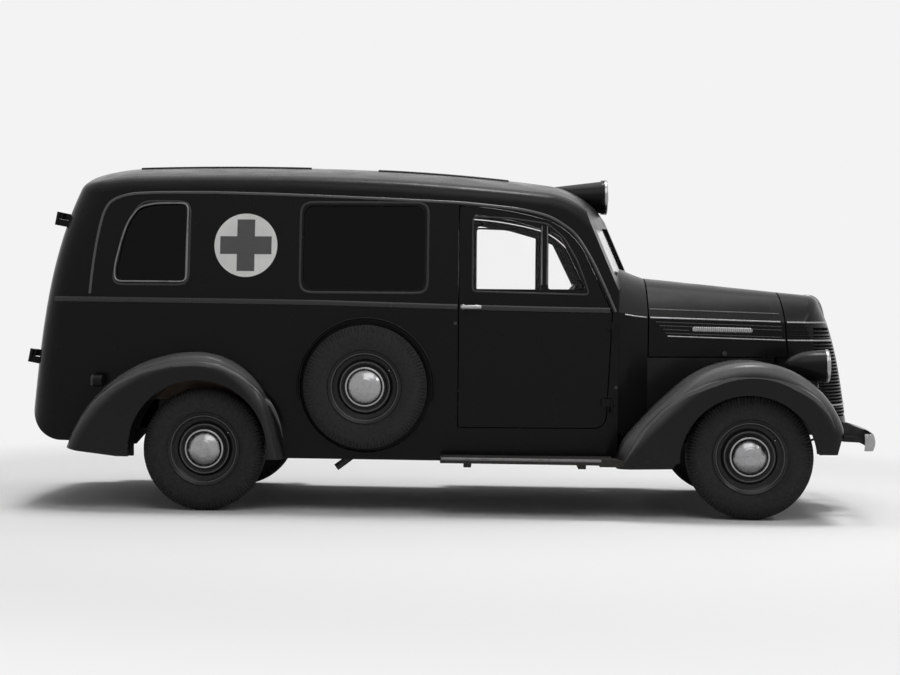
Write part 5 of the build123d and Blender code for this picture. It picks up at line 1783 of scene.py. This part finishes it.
@dataclass
class SmoothShell:
    """A packed shell whose long thin triangles shade unevenly, merged and shaded again from its own faces."""

    node: str

    def build(self, finish: Finish, slot: Slot) -> list[Piece]:
        """Copy the shell's points and faces into a new piece that stands for it.

        Args:
            finish: Material.
            slot: The record's slot for the shell, not used.

        Returns:
            The piece.
        """
        packed = frame["nodes"][self.node].data
        corners = np.zeros(len(packed.loops), dtype=int)
        packed.loops.foreach_get("vertex_index", corners)
        mesh = bpy.data.meshes.new(f"{self.node}_shell")
        mesh.from_pydata(corner_points(packed).tolist(), [], corners.reshape(-1, 3).tolist())
        work = bmesh.new()
        work.from_mesh(mesh)
        bmesh.ops.remove_doubles(work, verts=work.verts, dist=2e-5)
        work.to_mesh(mesh)
        work.free()
        mesh.materials.append(finish)
        mesh.shade_smooth()
        mesh.set_sharp_from_angle(angle=math.radians(30))
        piece = placed(f"{self.node}_shell", mesh)
        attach(piece, ROOT_BODY)
        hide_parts(self.node)
        return [piece]


@dataclass
class FenderTrim:
    """Raised shoulder ridge of each fender, the aprons inside the arches and the toe of each running board."""

    front_ridge: Corners = (
        (2.452, 0.335), (2.4915, 0.403), (2.5642, 0.520), (2.6736, 0.6324), (2.7954, 0.7205), (2.9414, 0.784),
        (3.0631, 0.810), (3.1848, 0.8135), (3.3064, 0.8007), (3.4279, 0.7654), (3.5252, 0.7053), (3.5984, 0.6204),
        (3.628, 0.545),
    )
    rear_ridge: Corners = (
        (-0.7196, 0.535), (-0.6338, 0.6455), (-0.5047, 0.7463), (-0.3469, 0.8219), (-0.1892, 0.8604),
        (-0.0316, 0.8707), (0.1115, 0.8526), (0.2262, 0.7976), (0.3266, 0.7213), (0.3985, 0.6308), (0.4491, 0.5331),
        (0.474, 0.440),
    )
    ridge_width: float = 0.030
    ridge_height: float = 0.005
    widest: float = 0.9148
    skirt_radius: float = 0.415
    apron_radii: tuple[float, float] = (0.354, 0.400)
    inner_apron: Corners = ((-0.60, 0.372), (-0.64, 0.64), (-0.30, 0.64), (-0.33, 0.50), (-0.44, 0.372))

    def apron(self, skin: Skin, side: int, first: float, last: float) -> np.ndarray:
        """A strip of the front fender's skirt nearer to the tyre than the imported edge.

        Its points lie between the apron's two radii round the axle and turn from the first angle to the last; the
        distance across is that of the skirt further out at the same angle, less 4 mm.

        Args:
            skin: The fender from outside.
            side: Sign of the side.
            first: First angle, in degrees, above the line forward.
            last: Last angle.

        Returns:
            A grid whose rows follow the angle and whose columns close round the strip.
        """
        turn = np.radians(np.linspace(first, last, 24))
        further = self.skirt_radius
        places = np.stack([at(WHEELBASE) + further * np.cos(turn), AXLE_HEIGHT + further * np.sin(turn)], 1)
        across = skin.height(places) - side * 0.004
        inner, outer = self.apron_radii
        radii = np.array([inner, outer, outer, inner])
        back = np.array([0.0, 0.0, 0.0025, 0.0025])
        grid = np.zeros((24, 4, 3))
        grid[..., 0] = at(WHEELBASE) + radii * np.cos(turn)[:, None]
        grid[..., 1] = across[:, None] - side * back
        grid[..., 2] = AXLE_HEIGHT + radii * np.sin(turn)[:, None]
        return grid

    def ridge(self, skin: Skin, corners: Corners) -> np.ndarray:
        """A low half-round along a fender's shoulder, thinning out to its ends and held inside the fenders' width.

        Args:
            skin: The fender from outside.
            corners: Station and height of each corner of its line.

        Returns:
            A grid of points.
        """
        points, outward = skin.lay(smooth_path([(at(x), z) for x, z in corners], 0.06, 120))
        share = np.linspace(0, 1, len(points))
        taper = np.clip(np.minimum(share, 1 - share) * 9, 0.15, 1.0)
        section = carried_profile(points, outward, half_round(self.ridge_width, self.ridge_height, 9, 0.002))
        section = points[:, None] + (section - points[:, None]) * taper[:, None, None]
        section[..., 1] = np.clip(section[..., 1], -self.widest, self.widest)
        return section

    def build(self, finishes: Finishes) -> list[Piece]:
        """Build the ridges, aprons and toes.

        Args:
            finishes: The truck's finishes.

        Returns:
            The pieces.
        """
        pieces = []
        for name, side in SIDES:
            ridges, dark, toe = Soup(), Soup(), Soup()
            for node, corners in (("front_fenders", self.front_ridge), ("rear_fenders", self.rear_ridge)):
                skin = Skin([node], Axis.Y, side)
                ridges.tube(self.ridge(skin, corners))
                if node == "front_fenders":
                    dark.tube(self.apron(skin, side, 5.5, 34.0))
            dark.slab(self.inner_apron, side, 0.604, 0.608)
            toe.slab(oblong(2.310, 2.475, 0.302, 0.340), side, 0.72, 0.893)
            # The ridges take the lighter enamel: a painted highlight along each fender's shoulder.
            pieces.append(ridges.piece(f"fender_ridges_{name}", finishes.highlight_paint, Slot.PAINT, smooth_angle=50.0))
            pieces.append(dark.piece(f"arch_aprons_{name}", finishes.fender_paint_top_light, Slot.PAINT))
            pieces.append(toe.piece(f"board_toe_{name}", finishes.board, Slot.BOARD))
        return pieces


@dataclass
class BodyTrim:
    """Roof battens, the bead round the spare's well, the strip over the hood's hinge and the rear door handle."""

    battens: Corners = ((-0.487, 0.572), (0.985, 1.78))
    batten_y: float = 0.30
    well_radius: float = 0.401
    well_middle: tuple[float, float] = (0.951, 0.741)
    batten_size: tuple[float, float] = (0.022, 0.009)
    bead_size: tuple[float, float] = (0.014, 0.007)
    cover_ends: tuple[float, float] = (2.747, 3.458)
    cover_size: tuple[float, float] = (0.0125, 0.00725)
    grip_place: Place = (-1.089, -0.040, 1.130)
    ridge_top: float = 1.3775
    ridge_fall: float = 0.0849

    def build(self, finishes: Finishes) -> list[Piece]:
        """Build the pieces.

        Args:
            finishes: The truck's finishes.

        Returns:
            The pieces.
        """
        roof, bead, hinge, handle = (Soup() for _ in range(4))
        top = Skin(["roof_panel"], Axis.Z, 1)
        for start, end in self.battens:
            for _, side in SIDES:
                line = np.stack([np.linspace(at(start), at(end), 40), np.full(40, side * self.batten_y)], 1)
                roof.tube(carried_profile(*top.lay(line), half_round(*self.batten_size)))
        turn = np.radians(np.linspace(-12, 192, 90))
        ring = np.stack([at(self.well_middle[0]) + self.well_radius * np.cos(turn),
                         self.well_middle[1] + self.well_radius * np.sin(turn)], 1)
        well = Skin(["body_side_right"], Axis.Y, -1)
        bead.tube(carried_profile(*well.lay(ring, 0.004), half_round(*self.bead_size)))
        stations = np.linspace(*self.cover_ends, 30)
        ridge = self.ridge_top - self.ridge_fall * (stations - HOOD_REAR)
        line = np.stack([stations - ORIGIN_STATION, np.zeros(30), ridge], 1)
        up = np.tile([self.ridge_fall, 0.0, 1.0], (30, 1))
        hinge.tube(carried_profile(line, up, half_round(*self.cover_size, 9, 0.001)))
        grip = np.array([[0.0, -0.064], [0.007, -0.062], [0.0105, -0.054], [0.012, 0.0], [0.0105, 0.054],
                         [0.007, 0.062], [0.0, 0.064]])
        station, y, z = self.grip_place
        handle.lathe((at(station), y, z), Axis.Z, 1, grip, 20)
        return [
            roof.piece("roof_battens", finishes.paint, Slot.PAINT),
            hinge.piece("hood_hinge_cover", finishes.trim, Slot.BRIGHT),
            bead.piece("spare_well_bead", finishes.paint, Slot.PAINT),
            handle.piece("rear_door_handle", finishes.bright, Slot.BRIGHT, "rear_door_right"),
        ]


@dataclass
class Cushion:
    """A padded form: a box whose faces are blown up by simulation, then channelled."""

    name: str
    low: tuple[float, float, float]
    high: tuple[float, float, float]
    swell: float = 0.014
    voxel: float = 0.012
    channel_pitch: float = 0.0
    channel_depth: float = 0.006
    channel_reach: float = 0.009
    fill: float = 0.7
    pressure: float = 4.0
    last_frame: int = 20

    def start_mesh(self) -> bpy.types.Mesh:
        """A box a little smaller than the space it may fill.

        Returns:
            The mesh.
        """
        low = np.asarray(self.low) + self.swell
        high = np.asarray(self.high) - self.swell
        mesh = bpy.data.meshes.new(f"{self.name}_box")
        corners = [[x, y, z] for x in (low[0], high[0]) for y in (low[1], high[1]) for z in (low[2], high[2])]
        faces = [(0, 1, 3, 2), (4, 6, 7, 5), (0, 4, 5, 1), (2, 3, 7, 6), (0, 2, 6, 4), (1, 5, 7, 3)]
        mesh.from_pydata(np.array(corners).tolist(), [], faces)
        return mesh

    def settled_mesh(self, piece: Piece) -> bpy.types.Mesh:
        """The piece's mesh with its modifiers in it."""
        return bpy.data.meshes.new_from_object(piece.evaluated_get(bpy.context.evaluated_depsgraph_get()))

    def channelled(self, points: np.ndarray) -> np.ndarray:
        """Points pressed in by a bell curve round each channel.

        Args:
            points: Points of the swollen cover.

        Returns:
            The points, moved towards the cushion's long middle line.
        """
        middle = (np.asarray(self.low) + np.asarray(self.high)) / 2
        share = (points[:, 1] - middle[1]) / self.channel_pitch
        from_line = np.abs(share - np.round(share)) * self.channel_pitch
        press = self.channel_depth * np.exp(-(from_line / self.channel_reach) ** 2)
        count = len(points)
        line = np.stack([np.full(count, middle[0]), points[:, 1], np.full(count, middle[2])], 1)
        return points - unit(points - line) * press[:, None]

    def build(self, finish: Finish, body: str = ROOT_BODY) -> Piece:
        """Build the cushion: points move out by the simulated swell, held to the space it may fill.

        Args:
            finish: Material.
            body: Body that it rides on.

        Returns:
            The piece.
        """
        piece = placed(self.name, self.start_mesh())
        grid = piece.modifiers.new("even mesh", "REMESH")
        grid.mode = "VOXEL"
        grid.voxel_size = self.voxel
        settled = self.settled_mesh(piece)
        piece.modifiers.clear()
        piece.data = settled
        start = corner_points(settled)
        swollen = np.clip(start + self.simulated(piece, start), self.low, self.high)
        if self.channel_pitch:
            swollen = self.channelled(swollen)
        settled.vertices.foreach_set("co", swollen.ravel())
        settled.update()
        settled.materials.append(finish)
        settled.shade_smooth()
        finer = piece.modifiers.new("smooth cover", "SUBSURF")
        finer.levels = 1
        finer.render_levels = 1
        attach(piece, body)
        return piece

    def simulated(self, piece: Piece, start: np.ndarray) -> np.ndarray:
        """How far each point moves when the cover is blown up, held to 1.4 times the swell.

        Args:
            piece: The cushion.
            start: Its points.

        Returns:
            The moves, one row each.
        """
        scene = bpy.context.scene
        cloth = piece.modifiers.new("cover", "CLOTH")
        cloth.settings.use_pressure = True
        cloth.settings.uniform_pressure_force = self.pressure
        cloth.settings.effector_weights.gravity = 0.0
        cloth.settings.quality = 5
        for number in range(1, self.last_frame + 1):
            scene.frame_set(number)
        move = corner_points(self.settled_mesh(piece)) - start
        piece.modifiers.clear()
        scene.frame_set(1)
        length = np.linalg.norm(move, axis=1, keepdims=True)
        return move * np.minimum(1.0, 1.4 * self.swell / np.maximum(length, 1e-9))


@dataclass
class CabSeat:
    """Bench of the cab: pressed box, seat cushion and back, both channelled."""

    half_width: float = 0.605
    riser: Corners = ((1.566, 0.6505), (1.566, 0.772), (1.985, 0.772), (1.972, 0.6505))
    back_board: Corners = ((1.560, 0.772), (1.546, 1.285), (1.558, 1.287), (1.573, 0.772))

    def build(self, finishes: Finishes) -> list[Piece]:
        """Build the seat.

        Args:
            finishes: The truck's finishes.

        Returns:
            The pieces.
        """
        seat = Cushion("cab_seat_cushion", (at(1.648), -0.615, 0.775), (at(2.006), 0.615, 0.912), 0.015, 0.011, 0.1025)
        back = Cushion("cab_seat_back", (at(1.560), -0.615, 0.880), (at(1.648), 0.615, 1.296), 0.014, 0.011, 0.1025)
        box = Soup()
        for outline in (self.riser, self.back_board):
            box.slab(outline, 1, -self.half_width, self.half_width)
        riser = box.piece("cab_seat_box", finishes.paint, Slot.PAINT)
        pieces = [seat.build(finishes.seat), back.build(finishes.seat), riser]
        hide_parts("cab_seat")
        return pieces


@dataclass
class LitterBenches:
    """Two litter benches of the load space: padded tops on angle frames with legs."""

    rear: float = -0.758
    front: float = 1.248
    legs: tuple[float, ...] = (-0.740, 0.560, 1.180)
    leg_width: float = 0.05
    leg_foot: float = 0.6508
    leg_top: float = 0.962

    def build(self, finishes: Finishes) -> list[Piece]:
        """Build the pads and their frame.

        Args:
            finishes: The truck's finishes.

        Returns:
            The pieces.
        """
        pieces = []
        bars = Soup()
        for name, side in SIDES:
            low, high = sorted((side * 0.333, side * 0.657))
            pad = Cushion(f"litter_pad_{name}", (at(self.rear), low, 0.980), (at(self.front), high, 1.029), 0.008,
                          0.013, fill=0.8)
            pieces.append(pad.build(finishes.seat))
            for inner, outer in ((0.334, 0.346), (0.644, 0.656)):
                bars.slab(oblong(self.rear, self.front, 0.961, 0.981), side, inner, outer)
            for station in self.legs:
                front = station + self.leg_width
                for inner, outer in ((0.342, 0.348), (0.382, 0.388)):
                    bars.slab(oblong(station, front, self.leg_foot, self.leg_top), side, inner, outer)
                bars.slab(oblong(station, front, self.leg_top, 0.979), side, 0.340, 0.650)
        carrier = bars.piece("litter_frames", finishes.chassis, Slot.CHASSIS)
        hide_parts("litter_benches")
        pieces.append(carrier)
        return pieces


@dataclass
class Studio:
    """Pale floor, soft light and the camera at the photograph's place."""

    camera_station: float = 1.715
    camera_y: float = -10.6
    camera_height: float = 1.2112
    yaw: float = math.radians(4.5)
    roll: float = math.radians(0.5)
    lens: float = 67.3
    shift_x: float = 0.0951
    shift_y: float = -0.0347
    pale: Colour = (0.86, 0.86, 0.86)
    shown: Colour = (0.896, 0.896, 0.896)
    shadow_reach: tuple[float, float] = (3.6, 5.5)
    sun_strength: float = 1.3
    sun_width: float = math.radians(16)
    sun_turn: tuple[float, float, float] = (math.radians(-9), math.radians(6), 0.0)
    world_strength: float = 0.18
    soft_boxes: tuple[tuple[str, Place, Place, float, float], ...] = (
        ("key_box", (1.5, -4.5, 6.5), (0.3, 0.0, 0.9), 6.0, 100.0),
        ("roof_box", (0.0, 1.0, 6.5), (0.0, 0.0, 1.0), 8.0, 165.0),
        ("nose_box", (6.5, -2.5, 5.0), (1.8, 0.0, 1.0), 3.0, 70.0),
    )
    cove_start: float = 20.0
    cove_radius: float = 6.0

    def sheet_material(self) -> Finish:
        """Pale surface that takes the truck's shadow near it, and shows evenly further out.

        Returns:
            The material.
        """
        recipe = Recipe("studio sheet")
        recipe.constants(Base_Color=(*self.pale, 1.0), Roughness=0.9, Specular_IOR_Level=0.1)
        even_tone = recipe.fed(recipe.node("Emission"), {"Color": (*self.shown, 1.0)}).outputs[0]
        length = recipe.node("VectorMath")
        length.operation = "LENGTH"
        distance = recipe.fed(length, {0: recipe.coords.outputs["Object"]}).outputs["Value"]
        fade = recipe.spread(distance, 0.0, 1.0, *self.shadow_reach, "SMOOTHSTEP")
        share = recipe.joined("MULTIPLY", recipe.seen_directly(), fade)
        surface = recipe.shaders(share, recipe.shader.outputs[0], even_tone)
        recipe.link(surface, recipe.tree.nodes["Material Output"].inputs["Surface"])
        return recipe.material

    def build_floor(self) -> None:
        """Lay the floor and the backdrop, one sheet that rises far behind the truck.

        Distance back runs along the sheet; its height is nought to the cove, then a quarter circle, then straight.
        """
        turn = np.linspace(0.1, math.pi / 2, 12)
        start, radius = self.cove_start, self.cove_radius
        back = np.concatenate([np.linspace(-30, start, 12), start + radius * np.sin(turn), [start + radius]])
        up = np.concatenate([np.zeros(12), radius - radius * np.cos(turn), [30.0]])
        across = np.linspace(-40, 40, 5)
        grid = np.zeros((len(back), len(across), 3))
        grid[..., 0] = across[None, :]
        grid[..., 1] = back[:, None]
        grid[..., 2] = up[:, None]
        mesh = bpy.data.meshes.new("studio_floor")
        mesh.from_pydata(grid.reshape(-1, 3).tolist(), [], grid_faces(len(back), len(across), False, False).tolist())
        mesh.materials.append(self.sheet_material())
        mesh.shade_smooth()
        placed("studio_floor", mesh)

    def build_lights(self) -> None:
        """Hang soft boxes over the truck, by place, aim, size and power, and set the world's even light."""
        for name, place, aim, size, power in self.soft_boxes:
            light = bpy.data.lights.new(name, "AREA")
            light.shape = "RECTANGLE"
            light.size = size
            light.size_y = size * 0.6
            light.energy = power
            lamp = placed(name, light)
            lamp.location = place
            lamp.rotation_euler = Vector(np.subtract(aim, place)).to_track_quat("-Z", "Y").to_euler()
        sun = bpy.data.lights.new("soft_sun", "SUN")
        sun.energy = self.sun_strength
        sun.angle = self.sun_width
        placed("soft_sun", sun).rotation_euler = self.sun_turn
        world = bpy.data.worlds.new("studio world")
        bpy.context.scene.world = world
        world.use_nodes = True
        tree = Tree(world.node_tree)
        soft = tree.fed(world.node_tree.nodes["Background"],
                        {"Color": (1.0, 1.0, 1.0, 1.0), "Strength": self.world_strength})
        seen = tree.fed(tree.node("Background"), {"Color": (*self.shown, 1.0), "Strength": 1.0})
        surface = tree.shaders(tree.seen_directly(), soft.outputs[0], seen.outputs[0])
        tree.link(surface, world.node_tree.nodes["World Output"].inputs["Surface"])

    def build_camera(self) -> None:
        """Set the camera square to the right side, turned and rolled as the photograph's was."""
        data = bpy.data.cameras.new("camera")
        camera = placed("camera", data)
        bpy.context.scene.camera = camera
        data.lens = self.lens
        data.sensor_width = 36.0
        data.shift_x = self.shift_x
        data.shift_y = self.shift_y
        data.clip_end = 200.0
        level = Euler((math.pi / 2, 0.0, self.yaw)).to_matrix()
        tilt = Matrix.Rotation(self.roll, 3, "Z")
        camera.rotation_euler = (level @ tilt).to_euler()
        camera.location = (at(self.camera_station), self.camera_y, self.camera_height)

    def build(self) -> None:
        """Set up the whole studio."""
        self.build_floor()
        self.build_lights()
        self.build_camera()
        bpy.context.scene.view_settings.view_transform = "Standard"


def dress_nodes(finishes: Finishes) -> None:
    """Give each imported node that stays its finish.

    Args:
        finishes: The truck's finishes.
    """
    by_slot = {
        Slot.PAINT: finishes.paint, Slot.CHASSIS: finishes.chassis, Slot.CASTING: finishes.casting,
        Slot.TYRE: finishes.tyre, Slot.WHEEL: finishes.wheel_paint, Slot.BRIGHT: finishes.bright,
        Slot.GLASS: finishes.glass, Slot.LENS: finishes.lens, Slot.SEAT: finishes.seat,
        Slot.BOARD: finishes.board, Slot.FLOOR: finishes.floor,
    }
    own = {"front_fenders": finishes.fender_paint_top_light, "rear_fenders": finishes.fender_paint_top_light}
    slots = {row["node"]: Slot(row["material_slot"]) for row in frame["record"]["subparts"]}
    for node, piece in frame["nodes"].items():
        piece.data.materials.clear()
        piece.data.materials.append(own.get(node, by_slot[slots[node]]))
        piece.data.shade_smooth()
        piece.data.set_sharp_from_angle(angle=math.radians(28))
    LOG.info("dressed %d packed nodes", len(frame["nodes"]))


def wheel_places() -> list[tuple[str, tuple[float, float, float], int, str]]:
    """Name, centre, side and body of each wheel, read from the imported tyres.

    Returns:
        One row for each road wheel, and the spare last.
    """
    rows = []
    for corner in ("front_right", "front_left", "rear_right", "rear_left"):
        low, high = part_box(f"tyre_{corner}")
        rows.append((corner, tuple((low + high) / 2), -1 if corner.endswith("right") else 1, f"wheel_{corner}"))
    low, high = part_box("spare_tyre")
    rows.append(("spare", tuple((low + high) / 2), -1, ROOT_BODY))
    return rows


def report(pieces: Sequence[Piece]) -> None:
    """Log the name and size of each new piece.

    Args:
        pieces: The pieces.
    """
    for piece in pieces:
        LOG.info("%s: %d faces", piece.name, len(piece.data.polygons))


def main() -> None:
    """Build the finishes, the sub-assemblies and the studio."""
    logging.basicConfig(level=logging.INFO, format="%(message)s")
    finishes = Finishes()
    dress_nodes(finishes)
    for corner, centre, side, body in wheel_places():
        tyre_node = "spare_tyre" if corner == "spare" else f"tyre_{corner}"
        report([Tyre(tyre_node, centre, side, body).build(finishes.tyre)])
        report(Wheel(corner, centre, side, body).build(finishes))
    nose = Nose()
    for name, side in SIDES:
        for kind in (SideTrim, HoodTrim, Roundel, DoorHandle, BoardRubber):
            report(kind(name, side).build(finishes))
    for assembly in (nose, Headlamps(), Bumper(), LampFaces(), FenderTrim()):
        report(assembly.build(finishes))
    for node in ("front_fenders", "rear_fenders"):
        report(SmoothShell(node).build(finishes.fender_paint_top_light, Slot.PAINT))
    for assembly in (BodyTrim(), CabSeat(), LitterBenches()):
        report(assembly.build(finishes))
    Studio().build()


if __name__ == "__main__":
    main()
